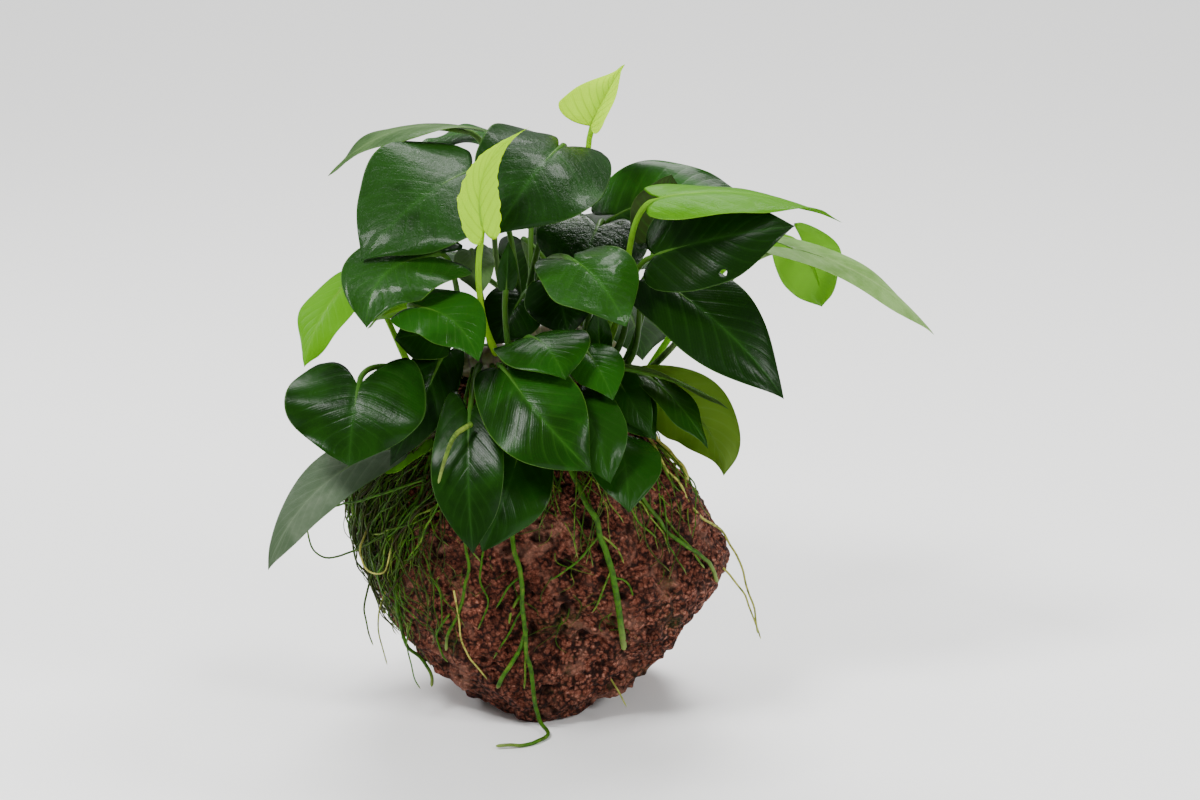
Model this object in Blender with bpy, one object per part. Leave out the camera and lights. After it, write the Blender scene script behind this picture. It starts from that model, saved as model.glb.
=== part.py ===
"""Anubias growing on a lava stone: leaves, rhizomes and roots as separate solids.

The origin is the middle of the stone's flat underside, +Z is up and the plant faces -Y.
Tables are in millimetres, and every mesh is written in metres.
"""

import math

import bmesh
import bpy
import numpy as np

MM = 0.001
GAP = 0.5                      # clear distance between a piece and what it grows from

# The stone is one radius for each direction from its middle: a rounded block, raised or
# sunk round a few directions, with a slow swell over all of it, and cut flat underneath.
STONE_MIDDLE = (0.0, 2.0, 66.0)
STONE_AXES = (72.0, 55.0, 70.0)
STONE_POWER = 2.3
STONE_BUMPS = (                # direction, height, spread in radians
    ((0.80, 0.00, 0.60), -19, 0.42),
    ((-0.93, 0.00, 0.37), 8, 0.30),
    ((-0.75, 0.00, -0.66), -9, 0.34),
    ((0.72, 0.00, -0.69), -8, 0.30),
    ((0.79, -0.38, 0.48), 6, 0.16),
    ((0.99, -0.10, -0.10), 7, 0.20),
    ((0.10, -0.95, 0.10), 4, 0.35),
    ((0.35, -0.80, -0.50), -4, 0.25),
    ((-0.12, -0.55, -0.83), 7, 0.30),
    ((-0.45, -0.75, 0.45), -4, 0.25),
    ((-0.30, 0.90, 0.30), 5, 0.30),
    ((0.50, 0.80, -0.20), -5, 0.30),
    ((0.05, -0.12, 0.99), 9, 0.50),
    ((0.00, 0.50, -0.86), 5, 0.30),
    ((-0.85, 0.50, -0.20), -4, 0.25),
)
STONE_WAVES = (                # a sine across the directions: its vector, phase and height
    ((3.1, 1.7, 2.2), 0.4, 1.3),
    ((4.3, -3.4, 2.9), 1.9, 1.0),
    ((-2.7, 5.2, 4.4), 3.3, 0.9),
    ((6.1, 4.7, -5.6), 5.0, 0.6),
    ((-7.9, 3.3, 6.7), 2.4, 0.45),
    ((5.2, -8.8, 7.1), 0.9, 0.4),
)
STONE_SEGMENTS, STONE_RINGS = 26, 16

# The rhizomes are thick creeping stems over the top of the stone.
RHIZOME_RADIUS = 5.5
RHIZOME_TIP_RADIUS = 4.2
RHIZOMES = {
    "main": ((-52, -10, 132), (-36, -15, 141), (-14, -19, 146.5),
             (8, -18, 147), (25, -13, 141), (39, -7, 131)),
    "back": ((-10, -13.6, 149.3), (-9.5, -6, 150.5), (-5, 3, 150),
             (5, 10.5, 148.5), (17, 15, 144), (28, 18, 137)),
}

# Each leaf: name, age, its foot (rhizome, share of the rhizome's length, roll from the top
# towards the back), the blade's base and tip, the way its upper side faces, its width, and
# whatever differs from LEAF_SHAPE.
LEAF_SHAPE = {
    "arch": 0.1,               # rise of the midrib between base and tip, as a share of its length
    "sway": 0.0,               # the same, sideways
    "fold": 0.0,               # slope of the two halves up from the midrib
    "cup": 0.0,                # curl of the margins
    "lobe": 0.2,               # how far the base lobes reach back, as a share of the length
    "neck": 0.5,               # width at the base, as a share of the width
    "wide": 0.33,              # where the blade is widest
    "taper": 2.0,              # fullness of the front half
    "point": 1.15,             # sharpness of the tip
    "twist": 0.0,              # turn about the midrib from base to tip, in degrees
    "hook": 0.3,               # how long the stalk runs in line with the blade's base
}
LEAVES = (
    ("leaf_back_left_arching", "mature", ("back", 0.28, 50), (-35, 37, 227), (-86, 13, 212),
     (-0.28, -0.08, 0.96), 36, {"arch": 0.13}),
    ("leaf_back_left_upper", "mature", ("back", 0.46, 60), (-14, 62, 217), (-52, 52, 216),
     (-0.1, -0.03, 1), 36, {"hook": 0.2}),
    ("leaf_left_round", "old", ("back", 0.14, 0), (-29, 1, 217), (-70, -34, 189),
     (-0.3, -0.8, 0.5), 60, {"arch": 0.12}),
    ("leaf_top_wet", "old", ("back", 0.23, 0), (6, -8, 228), (-18, -42, 201),
     (0.05, -0.8, 0.6), 52, {"arch": 0.15, "lobe": 0.3}),
    ("leaf_young_front", "young", ("main", 0.38, -50), (-22, -56, 206), (-4, -46, 244),
     (-0.25, -0.9, 0.3), 18, {"arch": 0.04, "fold": 0.15, "wide": 0.22, "taper": 1.3, "point": 1.7,
                              "lobe": 0.08, "sway": -0.2, "neck": 0.4}),
    ("leaf_young_back", "young", ("back", 0.5, 0), (18, 25, 230), (32, 30, 254),
     (-0.65, -0.65, 0.25), 28, {"arch": 0.03, "fold": 0.6, "wide": 0.14, "taper": 1.15, "point": 1.0,
                                "lobe": 0.05}),
    ("leaf_left_upper_wet", "mature", ("main", 0.27, 0), (-43, -30, 190), (-67, -52, 167),
     (-0.25, -0.75, 0.6), 40, {"arch": 0.12, "sway": 0.18, "lobe": 0.25}),
    ("leaf_left_bright", "fresh", ("main", 0.03, 0), (-78, -12, 174), (-93, -32, 146),
     (-0.6, -0.7, 0.35), 26, {}),
    ("leaf_left_small", "mature", ("main", 0.31, -50), (-48, -46, 174), (-24, -64, 157),
     (0.1, -0.6, 0.78), 29, {"arch": 0.12, "sway": -0.1}),
    ("leaf_left_big", "old", ("main", 0.05, -50), (-71, -48, 143), (-74, -62, 115),
     (-0.1, -0.85, 0.5), 54, {"lobe": 0.42, "neck": 0.6}),
    ("leaf_left_inner", "old", ("main", 0.24, -50), (-40, -32, 149), (-59, -52, 112),
     (0.25, -0.85, 0.45), 22, {"arch": 0.12}),
    ("leaf_left_low", "old", ("main", 0.03, -95), (-65, -36, 113), (-108, -45, 67),
     (-0.3, -0.6, 0.74), 25, {"sway": 0.06, "lobe": 0.15, "hook": 0.6}),
    ("leaf_left_tuck", "fresh", ("main", 0.08, -85), (-49, -31, 118), (-67, -23, 100),
     (-0.2, -0.6, 0.7), 20, {"hook": 0.25, "neck": 0.6}),
    ("leaf_front_main", "mature", ("main", 0.41, -95), (-14, -54, 151), (19, -82, 119),
     (0.05, -0.85, 0.5), 38, {"arch": 0.12, "lobe": 0.14, "neck": 0.45, "wide": 0.45, "sway": 0.05}),
    ("leaf_front_low", "old", ("main", 0.31, -95), (-28, -58, 134), (-26, -84, 87),
     (-0.15, -0.95, 0.3), 28, {"wide": 0.45}),
    ("leaf_front_low_right", "old", ("main", 0.46, -95), (-8, -50, 122), (-23, -76, 85),
     (0.25, -0.9, 0.3), 33, {"wide": 0.4}),
    ("leaf_front_right", "old", ("main", 0.6, -85), (14, -52, 141), (26, -78, 113),
     (0.15, -0.9, 0.35), 26, {"wide": 0.45}),
    ("leaf_right_low", "old", ("main", 0.86, -115), (29, -47, 123), (33, -80, 102),
     (0.2, -0.9, 0.4), 31, {"lobe": 0.1}),
    ("leaf_right_mid", "mature", ("main", 0.64, -95), (17, -42, 155), (27, -58, 140),
     (0.2, -0.75, 0.6), 22, {}),
    ("leaf_right_dark_small", "old", ("main", 0.68, -105), (28, -28, 141), (42, -41, 120),
     (0.1, -0.9, 0.4), 16, {"hook": 0.45}),
    ("leaf_right_tuck", "mature", ("main", 0.79, -95), (28, -29, 136), (44, -38, 118),
     (0.3, -0.8, 0.5), 20, {}),
    ("leaf_right_see_through", "fresh", ("main", 0.95, -95), (46, -14, 130), (71, -20, 98),
     (0.3, 0.85, 0.45), 39, {"arch": 0.06, "sway": 0.16}),
    ("leaf_right_edge", "mature", ("main", 0.74, -75), (27, -38, 149), (72, -43, 132),
     (-0.35, 0.3, 0.88), 18, {"arch": 0.06, "hook": 0.75}),
    ("leaf_right_dark", "old", ("main", 0.86, -50), (44, -26, 180), (93, -46, 137),
     (0.3, -0.7, 0.65), 38, {"lobe": 0.1, "neck": 0.45, "hook": 0.25}),
    ("leaf_right_upper", "old", ("main", 0.81, -30), (43, -32, 191), (96, -48, 206),
     (0.05, -0.85, 0.5), 38, {"arch": 0.08, "lobe": 0.08, "neck": 0.4, "hook": 0.5}),
    ("leaf_back_right", "mature", ("back", 0.68, 0), (29, 16, 196), (78, 22, 204),
     (0, -0.5, 0.85), 46, {}),
    ("leaf_back_right_inner", "old", ("main", 0.88, 10), (44, -7, 193), (50, -6, 217),
     (0, 0.9, 0.2), 24, {"hook": 0.2}),
    ("leaf_right_top_fresh", "fresh", ("main", 0.78, -10), (45, -38, 215), (115, -34, 204),
     (0, -0.2, 0.98), 34, {"arch": 0.09, "cup": -0.15, "lobe": 0.08, "wide": 0.25, "taper": 1.4,
                           "point": 1.2, "twist": 18, "hook": 0.2}),
    ("leaf_right_light", "fresh", ("main", 0.98, 0), (104, 10, 182), (110, 0, 162),
     (0.4, 0.75, 0.5), 36, {"lobe": 0.5, "neck": 0.4}),
    ("leaf_far_right", "mature", ("main", 0.95, -40), (98, -18, 190), (154, -10, 153),
     (0.45, -0.15, 0.88), 26, {"arch": 0.08}),
    ("leaf_centre_wet", "old", ("main", 0.69, 0), (21, -1, 195), (13, -17, 174),
     (0, -0.6, 0.8), 44, {"lobe": 0.25}),
    ("leaf_centre_front", "mature", ("back", 0.36, 10), (12, -37, 190), (32, -58, 169),
     (0.1, -0.6, 0.8), 38, {"arch": 0.15}),
    ("leaf_centre_under", "old", ("main", 0.6, 0), (5, -20, 176), (10, -31, 158),
     (0, -0.8, 0.55), 28, {}),
    ("leaf_rolled_bud", "mature", ("main", 0.43, -60), (-14, -40, 179), (-13, -40, 198),
     (0.1, -0.95, 0.1), 8, {"arch": 0.02, "fold": 0.6, "lobe": 0}),
    ("leaf_centre_left_grey", "old", ("main", 0.36, 0), (-28, -15, 188), (-24, -35, 175),
     (0, -0.9, 0.4), 16, {}),
    ("leaf_centre_left_dark", "old", ("main", 0.46, 0), (-9, -14, 169), (-19, -23, 153),
     (0, -0.8, 0.5), 24, {"hook": 0.6}),
    ("leaf_front_upper", "mature", ("main", 0.48, -50), (-4, -42, 161), (9, -68, 151),
     (0.1, -0.45, 0.88), 37, {"arch": 0.12}),
    ("leaf_left_mid_green", "mature", ("main", 0.19, -40), (-40, -29, 158), (-58, -28, 156),
     (-0.2, -0.6, 0.7), 24, {}),
    ("leaf_left_underside", "fresh", ("main", 0.17, 0), (-52, -20, 168), (-68, -35, 162),
     (-0.3, 0.5, 0.8), 18, {}),
    ("leaf_right_sprout", "mature", ("main", 0.71, -50), (22, -30, 152), (21, -32, 170),
     (0, -0.95, 0.1), 10, {"arch": 0.02}),
    ("leaf_right_narrow", "mature", ("main", 0.9, -75), (44, -28, 139), (64, -39, 115),
     (0.3, -0.3, 0.9), 18, {"arch": 0.06, "hook": 0.2}),
    ("leaf_rear_left", "old", ("back", 0.37, 50), (-34, 42, 172), (-62, 92, 150),
     (-0.2, 0.45, 0.87), 40, {}),
    ("leaf_rear_middle", "old", ("back", 0.64, 50), (11, 55, 187), (13, 84, 164),
     (0, 0.6, 0.8), 44, {}),
    ("leaf_rear_right", "old", ("back", 0.9, 50), (40, 44, 169), (70, 90, 142),
     (0.3, 0.5, 0.8), 40, {}),
    ("leaf_rear_low_left", "mature", ("back", 0.8, 60), (-9, 52, 176), (-5, 64, 145),
     (0, 0.8, 0.6), 24, {}),
    ("leaf_rear_low_right", "mature", ("back", 0.95, 75), (31, 42, 154), (40, 76, 119),
     (0.1, 0.7, 0.7), 40, {}),
)
STALK_RADIUS = 1.15
STALK_FOOT_SWELL = 0.35        # extra thickness at the foot, as a share of the radius
STALK_ARRIVAL = (0.8, 0.6)    # the stalk meets the blade along this mix of midrib and face
STALK_STOP = 3.0               # the stalk's last ring is this far short of the blade's base
LONG_STALK = 67.0
INNER_SWEEP = 0.4              # sweep of the first ring's inner points, per share of the half width
LOBE_END = 0.6                 # the base lobes have died out at this share of the length
BLADE_HALF_THICKNESS = 0.5
RIB_END = 0.25                 # the midrib stands proud of the blade up to here
BLADE_RINGS = (0.0, 0.1, 0.3, 0.52, 0.74, 0.92)
SMALL_BLADE = 30.0             # a narrower blade has fewer rings
SMALL_BLADE_RINGS = (0.0, 0.12, 0.38, 0.66, 0.9)
SECTION = ((-1, 0), (-0.55, 1), (0, 1), (0.55, 1), (1, 0), (0.55, -1), (0, -1), (-0.55, -1))

# Each root: name, colour, radius at its start and end, its foot on a rhizome, a route over
# the stone (degrees round from the front, degrees up, lift off it), then points past the stone.
ROOTS = (
    ("root_front_centre", "root_green", 1.1, 0.7, ("main", 0.36, -110),
     ((-26, 58, 2.2), (-17, 38, 2.6), (-12, 16, 2), (-9, 4, 2), (-8, -9, 2), (-7, -27, 2), (-5, -43, 2.2)),
     ((-2, -42, 4), (1, -52, 1.4), (-4, -60, 1.2), (-12, -64, 1.1), (-19, -65, 1.1))),
    ("root_front_main", "root_green", 1.0, 1.3, ("main", 0.62, -110),
     ((15, 58, 2.2), (10, 44, 2), (17, 27, 2), (22, 15, 2), (26, -1, 2), (30, -16, 2), (35, -31, 2.2)), ()),
    ("root_front_right", "root_green", 0.9, 0.8, ("main", 0.82, -140),
     ((42, 54, 2.4), (36, 40, 2.2), (38, 28, 2), (47, 16, 2), (54, 8, 2), (62, 2, 2), (72, -9, 2)), ()),
    ("root_pale_right", "root_pale", 1.0, 1.0, ("main", 0.97, -120),
     ((72, 46, 2.4), (70, 37, 2), (67, 32, 2), (64, 27, 2)), ()),
    ("root_left_front", "root_green", 0.7, 0.6, ("main", 0.28, -110),
     ((-42, 52, 2.2), (-34, 34, 2), (-31, 16, 2), (-29, 4, 2), (-31, -9, 2),
      (-36, -20, 2), (-39, -27, 2)), ()),
    ("root_left_outer", "root_green", 1.0, 0.7, ("main", 0.02, -120),
     ((-73, 38, 2.4), (-72, 28, 2), (-76, 18, 2.2), (-84, 4, 2.4), (-84, -12, 3), (-78, -24, 3)), ()),
    ("root_left_hanging", "root_green", 0.9, 0.7, ("main", 0.14, -110),
     ((-54, 46, 2.3), (-50, 30, 2), (-52, 16, 2), (-54, 2, 2), (-58, -14, 2.4), (-60, -28, 3)),
     ((-47, -24, 18), (-46, -27, 12))),
    ("root_trailing", "root_pale", 0.6, 0.4, ("main", 0.9, -120),
     ((55, 46, 2.4), (54, 36, 2.2), (58, 26, 2), (66, 14, 2), (78, 5, 2.2)),
     ((78, -10, 58), (82, -12, 46), (85, -13, 38), (86, -14, 30))),
    ("root_back_left", "root_green", 1.1, 0.8, ("back", 0.3, 110),
     ((-125, 66, 2.4), (-158, 52, 2.8), (-162, 36, 2), (-152, 18, 2), (-150, 2, 2), (-156, -16, 2),
      (-158, -32, 2)), ()),
    ("root_back_right", "root_green", 1.1, 0.8, ("back", 0.8, 120),
     ((140, 58, 2.3), (150, 44, 2.2), (152, 28, 2), (146, 12, 2), (148, -4, 2), (142, -20, 2),
      (144, -34, 2)), ()),
)
ROOT_FOOT_RUN = 2.5            # a root leaves its rhizome straight for this far
ROOT_SPACING = 10.0
# A new side shoot hangs before the front leaves; its tip is pale.
SHOOT_ROUTE = ((-27, -66, 133), (-33, -72, 130), (-37, -76, 121), (-39, -78, 113))
SHOOT_RADII = (1.2, 0.5)

FINISHES = {                   # base colour and roughness
    "stone": ((0.20, 0.075, 0.055), 0.95),
    "rhizome": ((0.16, 0.17, 0.06), 0.6),
    "root_green": ((0.10, 0.17, 0.04), 0.6),
    "root_pale": ((0.62, 0.56, 0.26), 0.55),
    "old": ((0.015, 0.06, 0.02), 0.3),
    "mature": ((0.03, 0.12, 0.025), 0.32),
    "fresh": ((0.10, 0.26, 0.04), 0.4),
    "young": ((0.36, 0.55, 0.08), 0.45),
}


def clear_scene():
    for item in list(bpy.data.objects):
        bpy.data.objects.remove(item, do_unlink=True)


def make_finishes():
    """One Principled material for each entry of FINISHES."""
    made = {}
    for name, (colour, roughness) in FINISHES.items():
        material = bpy.data.materials.new(name)
        material.use_nodes = True
        shader = material.node_tree.nodes["Principled BSDF"]
        shader.inputs["Base Color"].default_value = (*colour, 1.0)
        shader.inputs["Roughness"].default_value = roughness
        shader.inputs["Metallic"].default_value = 0.0
        made[name] = material
    return made


def unit(vectors):
    vectors = np.asarray(vectors, dtype=float)
    return vectors / np.linalg.norm(vectors, axis=-1, keepdims=True)


def smooth_path(points, spacing):
    """A Catmull-Rom curve through the points, read about every spacing."""
    points = np.asarray(points, dtype=float)
    reach = np.linalg.norm(np.diff(points, axis=0), axis=1).sum()
    steps = np.linspace(0, len(points) - 1, max(3, int(round(reach / spacing)) + 1))
    index = np.minimum(steps.astype(int), len(points) - 2)
    f = (steps - index)[:, None]
    a, b = points[np.maximum(index - 1, 0)], points[index]
    c, d = points[index + 1], points[np.minimum(index + 2, len(points) - 1)]
    return 0.5 * (2 * b + (c - a) * f + (2 * a - 5 * b + 4 * c - d) * f**2 + (3 * b - a - 3 * c + d) * f**3)


def make_tube(name, path, radii, material, collection, resolution=1):
    """A curve object along the path, with a radius at every point and closed ends."""
    curve = bpy.data.curves.new(name, "CURVE")
    curve.dimensions = "3D"
    curve.bevel_depth = MM
    curve.bevel_resolution = resolution
    curve.use_fill_caps = True
    spline = curve.splines.new("POLY")
    spline.points.add(len(path) - 1)
    for point, place, radius in zip(spline.points, path, radii):
        point.co = (*(place * MM), 1.0)
        point.radius = radius
    curve.materials.append(material)
    tube = bpy.data.objects.new(name, curve)
    collection.objects.link(tube)
    return tube


def stone_radius(directions):
    """Distance from the stone's middle to its surface in each unit direction."""
    radius = (np.abs(directions / np.array(STONE_AXES)) ** STONE_POWER).sum(axis=-1) ** (-1 / STONE_POWER)
    for direction, height, spread in STONE_BUMPS:
        away = 2 - 2 * (directions @ unit(direction))
        radius = radius + height * np.exp(-away / (2 * spread**2))
    for wave, phase, height in STONE_WAVES:
        radius = radius + height * np.sin(directions @ np.array(wave) + phase)
    return radius


def stone_place(turn, rise, lift):
    """A point over the stone: degrees round from the front, degrees up, and lift off it."""
    turn, rise = math.radians(turn), math.radians(rise)
    direction = np.array((math.cos(rise) * math.sin(turn), -math.cos(rise) * math.cos(turn), math.sin(rise)))
    return np.array(STONE_MIDDLE) + direction * (stone_radius(direction) + lift)


def make_stone(finishes, collection):
    mesh = bpy.data.meshes.new("stone")
    shape = bmesh.new()
    bmesh.ops.create_uvsphere(shape, u_segments=STONE_SEGMENTS, v_segments=STONE_RINGS, radius=1.0)
    directions = unit([tuple(vertex.co) for vertex in shape.verts])
    places = np.array(STONE_MIDDLE) + directions * stone_radius(directions)[:, None]
    for vertex, place in zip(shape.verts, places):
        vertex.co = place * MM
    everything = shape.verts[:] + shape.edges[:] + shape.faces[:]
    cut = bmesh.ops.bisect_plane(shape, geom=everything, plane_co=(0, 0, 0), plane_no=(0, 0, -1),
                                 clear_outer=True)
    rim = [item for item in cut["geom_cut"] if isinstance(item, bmesh.types.BMEdge)]
    bmesh.ops.contextual_create(shape, geom=rim)
    bmesh.ops.recalc_face_normals(shape, faces=shape.faces)
    shape.to_mesh(mesh)
    shape.free()
    mesh.shade_smooth()
    mesh.set_sharp_from_angle(angle=math.radians(50))
    mesh.materials.append(finishes["stone"])
    collection.objects.link(bpy.data.objects.new("stone", mesh))


def rhizome_path(name, spacing=3.0):
    return smooth_path(RHIZOMES[name], spacing)


def make_rhizomes(finishes, collection):
    for name in RHIZOMES:
        path = rhizome_path(name, spacing=7.0)
        ends = np.linspace(-1, 1, len(path)) ** 8
        radii = RHIZOME_RADIUS + (RHIZOME_TIP_RADIUS - RHIZOME_RADIUS) * ends
        make_tube("rhizome_" + name, path, radii, finishes["rhizome"], collection, resolution=2)


def rhizome_foot(rhizome, share, roll):
    """Where a stalk or a root starts on a rhizome, and which way it leaves."""
    path = rhizome_path(rhizome)
    lengths = np.concatenate(([0], np.cumsum(np.linalg.norm(np.diff(path, axis=0), axis=1))))
    target = share * lengths[-1]
    place = np.array([np.interp(target, lengths, path[:, axis]) for axis in range(3)])
    index = min(int(np.searchsorted(lengths, target)), len(path) - 1)
    along = unit(path[max(index, 1)] - path[max(index, 1) - 1])
    front = unit(np.cross(along, (0, 0, 1)))
    top = np.cross(front, along)
    out = top * math.cos(math.radians(roll)) - front * math.sin(math.radians(roll))
    return place + out * (RHIZOME_RADIUS + GAP), out


def leaf_shape(base, tip, face, width, changes):
    """The numbers a blade is made from: its axes and its proportions."""
    shape = dict(LEAF_SHAPE, **changes)
    base, tip = np.array(base, dtype=float), np.array(tip, dtype=float)
    length = np.linalg.norm(tip - base)
    forward = (tip - base) / length
    normal = unit(np.array(face) - np.dot(face, forward) * forward)
    shape.update(base=base, length=length, width=width, forward=forward, normal=normal,
                 side=np.cross(forward, normal))
    return shape


def midrib(shape, t):
    """The midrib at a share t of the blade: a chord bowed along the face and sideways."""
    bow = 4 * t * (1 - t)
    bend = shape["arch"] * shape["normal"] + shape["sway"] * shape["side"]
    return shape["base"] + shape["length"] * (t * shape["forward"] + bow * bend)


def blade_frame(shape, t):
    """The directions along, across and out of the blade at a share t."""
    bend = shape["arch"] * shape["normal"] + shape["sway"] * shape["side"]
    along = unit(shape["forward"] + 4 * (1 - 2 * t) * bend)
    across = unit(shape["side"] - np.sum(shape["side"] * along, axis=-1, keepdims=True) * along)
    out = np.cross(across, along)
    turn = math.radians(shape["twist"]) * t
    return across * np.cos(turn) + out * np.sin(turn), out * np.cos(turn) - across * np.sin(turn)


def half_width(shape, t):
    """Half the blade's width: a quarter ellipse from the neck, then a taper to the point."""
    rise = np.clip(t / shape["wide"], 0, 1)
    near = shape["neck"] + (1 - shape["neck"]) * np.sqrt(1 - (1 - rise) ** 2)
    fall = np.clip((t - shape["wide"]) / (1 - shape["wide"]), 0, 1)
    far = (1 - fall ** shape["taper"]) ** shape["point"]
    return 0.5 * shape["width"] * np.where(t < shape["wide"], near, far)


def lobe_sweep(t, u):
    """How far back a point lies in the base lobes. The first ring's inner points stay near the stalk."""
    sweep = 1 - (1 - np.abs(u)) ** 2
    inner = (t == 0) & (np.abs(u) < 1)
    return np.clip(1 - t / LOBE_END, 0, 1) ** 2 * np.where(inner, INNER_SWEEP * np.abs(u), sweep)


def blade_places(shape, t, u, lift):
    """Points on the blade at a share t of its length and u of its half width."""
    at = (t - shape["lobe"] * lobe_sweep(t, u))[:, None]
    across, out = blade_frame(shape, at)
    half = half_width(shape, t)
    rise = half * (shape["fold"] * np.abs(u) + shape["cup"] * u**2) + lift
    return midrib(shape, at) + across * (u * half)[:, None] + out * rise[:, None]


def stalk_rings(shape, foot, leaving):
    """Rings round a stalk that bends from its foot to the blade's base."""
    along, out = STALK_ARRIVAL
    arrival = unit(along * shape["forward"] + out * shape["normal"])
    end = shape["base"] - arrival * STALK_STOP
    reach = np.linalg.norm(end - foot)
    controls = (foot, foot + leaving * reach * 0.4, end - arrival * reach * shape["hook"], end)
    count = 5 if reach > LONG_STALK else 4
    k = np.linspace(0, 1, count)[:, None]
    path = ((1 - k) ** 3 * controls[0] + 3 * k * (1 - k) ** 2 * controls[1]
            + 3 * k**2 * (1 - k) * controls[2] + k**3 * controls[3])
    runs = unit((1 - k) ** 2 * (controls[1] - controls[0]) + 2 * k * (1 - k) * (controls[2] - controls[1])
                + k**2 * (controls[3] - controls[2]))
    turns = [math.atan2(level, across) for across, level in SECTION]
    rings = []
    across = shape["side"]
    for place, run, share in zip(path[::-1], runs[::-1], k[::-1, 0]):
        across = unit(across - np.dot(across, run) * run)
        up = np.cross(across, run)
        radius = STALK_RADIUS * (1 + STALK_FOOT_SWELL * max(0.0, 1 - 3 * share))
        rings.append([place + radius * (math.cos(a) * across + math.sin(a) * up) for a in turns])
    return rings[::-1]


def leaf_skin(row):
    """The corners and faces of a leaf: stalk and blade lofted as one skin from foot to tip."""
    name, age, foot_place, base, tip, face, width, changes = row
    shape = leaf_shape(base, tip, face, width, changes)
    foot, leaving = rhizome_foot(*foot_place)
    rings = stalk_rings(shape, foot, leaving)
    u = np.array([across for across, level in SECTION], dtype=float)
    level = np.array([level for across, level in SECTION], dtype=float)
    for t in SMALL_BLADE_RINGS if width < SMALL_BLADE else BLADE_RINGS:
        thickness = max(BLADE_HALF_THICKNESS, 0.9 * STALK_RADIUS * (1 - t / RIB_END))
        thickness *= min(1.0, 4 * (1 - t) + 0.3)
        rings.append(blade_places(shape, np.full(len(u), t), u, level * thickness * (1 - 0.45 * u**2)))
    places = np.concatenate([np.array(ring) for ring in rings] + [[foot], [midrib(shape, 1.0)]])
    count = len(SECTION)
    faces = []
    for ring in range(len(rings) - 1):
        for k in range(count):
            a, b = ring * count + k, ring * count + (k + 1) % count
            faces.append((a, b, b + count, a + count))
    last = (len(rings) - 1) * count
    first_cap, last_cap = len(places) - 2, len(places) - 1
    for k in range(count):
        faces.append((first_cap, (k + 1) % count, k))
        faces.append((last_cap, last + k, last + (k + 1) % count))
    return places, faces


def make_leaf(row, finishes, collection):
    name, age = row[:2]
    places, faces = leaf_skin(row)
    mesh = bpy.data.meshes.new(name)
    mesh.from_pydata((places * MM).tolist(), [], faces)
    skin = bmesh.new()
    skin.from_mesh(mesh)
    bmesh.ops.recalc_face_normals(skin, faces=skin.faces)
    skin.to_mesh(mesh)
    skin.free()
    mesh.shade_smooth()
    mesh.materials.append(finishes[age])
    collection.objects.link(bpy.data.objects.new(name, mesh))


def make_roots(finishes, collection):
    for name, finish, start, end, foot_place, route, beyond in ROOTS:
        foot, leaving = rhizome_foot(*foot_place)
        over = [stone_place(*place) for place in route] + [np.array(place, float) for place in beyond]
        path = smooth_path([foot + leaving * ROOT_FOOT_RUN] + over, ROOT_SPACING)
        path = np.concatenate(([foot], path))
        make_tube(name, path, np.linspace(start, end, len(path)), finishes[finish], collection)
    path = smooth_path(SHOOT_ROUTE, ROOT_SPACING / 2)
    make_tube("shoot_front", path, np.linspace(*SHOOT_RADII, len(path)), finishes["fresh"], collection)


def main():
    clear_scene()
    collection = bpy.data.collections.new("anubias_on_stone")
    bpy.context.scene.collection.children.link(collection)
    finishes = make_finishes()
    make_stone(finishes, collection)
    make_rhizomes(finishes, collection)
    for row in LEAVES:
        make_leaf(row, finishes, collection)
    make_roots(finishes, collection)


main()
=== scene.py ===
import bpy
import mathutils
import numpy as np
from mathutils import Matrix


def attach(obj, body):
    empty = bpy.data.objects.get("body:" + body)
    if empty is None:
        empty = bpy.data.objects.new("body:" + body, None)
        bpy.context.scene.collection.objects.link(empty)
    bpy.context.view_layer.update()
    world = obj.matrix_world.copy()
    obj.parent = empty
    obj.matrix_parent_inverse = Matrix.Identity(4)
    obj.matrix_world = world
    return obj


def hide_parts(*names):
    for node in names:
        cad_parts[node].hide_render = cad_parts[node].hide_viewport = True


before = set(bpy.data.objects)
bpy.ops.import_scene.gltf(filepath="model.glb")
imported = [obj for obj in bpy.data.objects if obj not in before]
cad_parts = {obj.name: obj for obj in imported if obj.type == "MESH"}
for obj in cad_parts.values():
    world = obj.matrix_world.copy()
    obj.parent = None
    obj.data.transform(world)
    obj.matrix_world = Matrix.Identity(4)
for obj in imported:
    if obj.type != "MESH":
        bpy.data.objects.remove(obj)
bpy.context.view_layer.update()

mm = 0.001
seed = 7                      # every random draw comes from this
scatter = dict(steps=(127.1, 311.7, 74.7), saltStep=17.3, spread=43758.5453, jitter=0.42)


def unit(vectors):
    # v / |v|, for each vector along the last axis
    vectors = np.asarray(vectors, float)
    return vectors / np.linalg.norm(vectors, axis=-1, keepdims=True)


def travelled(path):
    # the sum of the steps' lengths from the path's start to each of its points
    return np.concatenate(([0], np.cumsum(np.linalg.norm(np.diff(path, axis=0), axis=1))))


def lattice(cells, salt):
    # a fixed random number in -1..1 for each whole-number cell: the fraction of a huge sine
    angle = cells @ np.array(scatter["steps"]) + salt * scatter["saltStep"]
    mixed = np.sin(angle) * scatter["spread"]
    return 2 * (mixed - np.floor(mixed)) - 1


def softNoise(places, salt=0):
    # trilinear blend of the random numbers at a cell's eight corners, eased by 3f^2 - 2f^3
    cell = np.floor(places)
    f = places - cell
    f = f * f * (3 - 2 * f)
    total = np.zeros(places.shape[:-1])
    for corner in np.ndindex(2, 2, 2):
        corner = np.array(corner)
        weight = np.prod(np.where(corner == 1, f, 1 - f), axis=-1)
        total += weight * lattice(cell + corner, salt)
    return total


def softShift(places, salt=0):
    # three soft noises as one vector at each place
    return np.stack([softNoise(places, salt + k) for k in range(3)], axis=-1)


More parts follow.
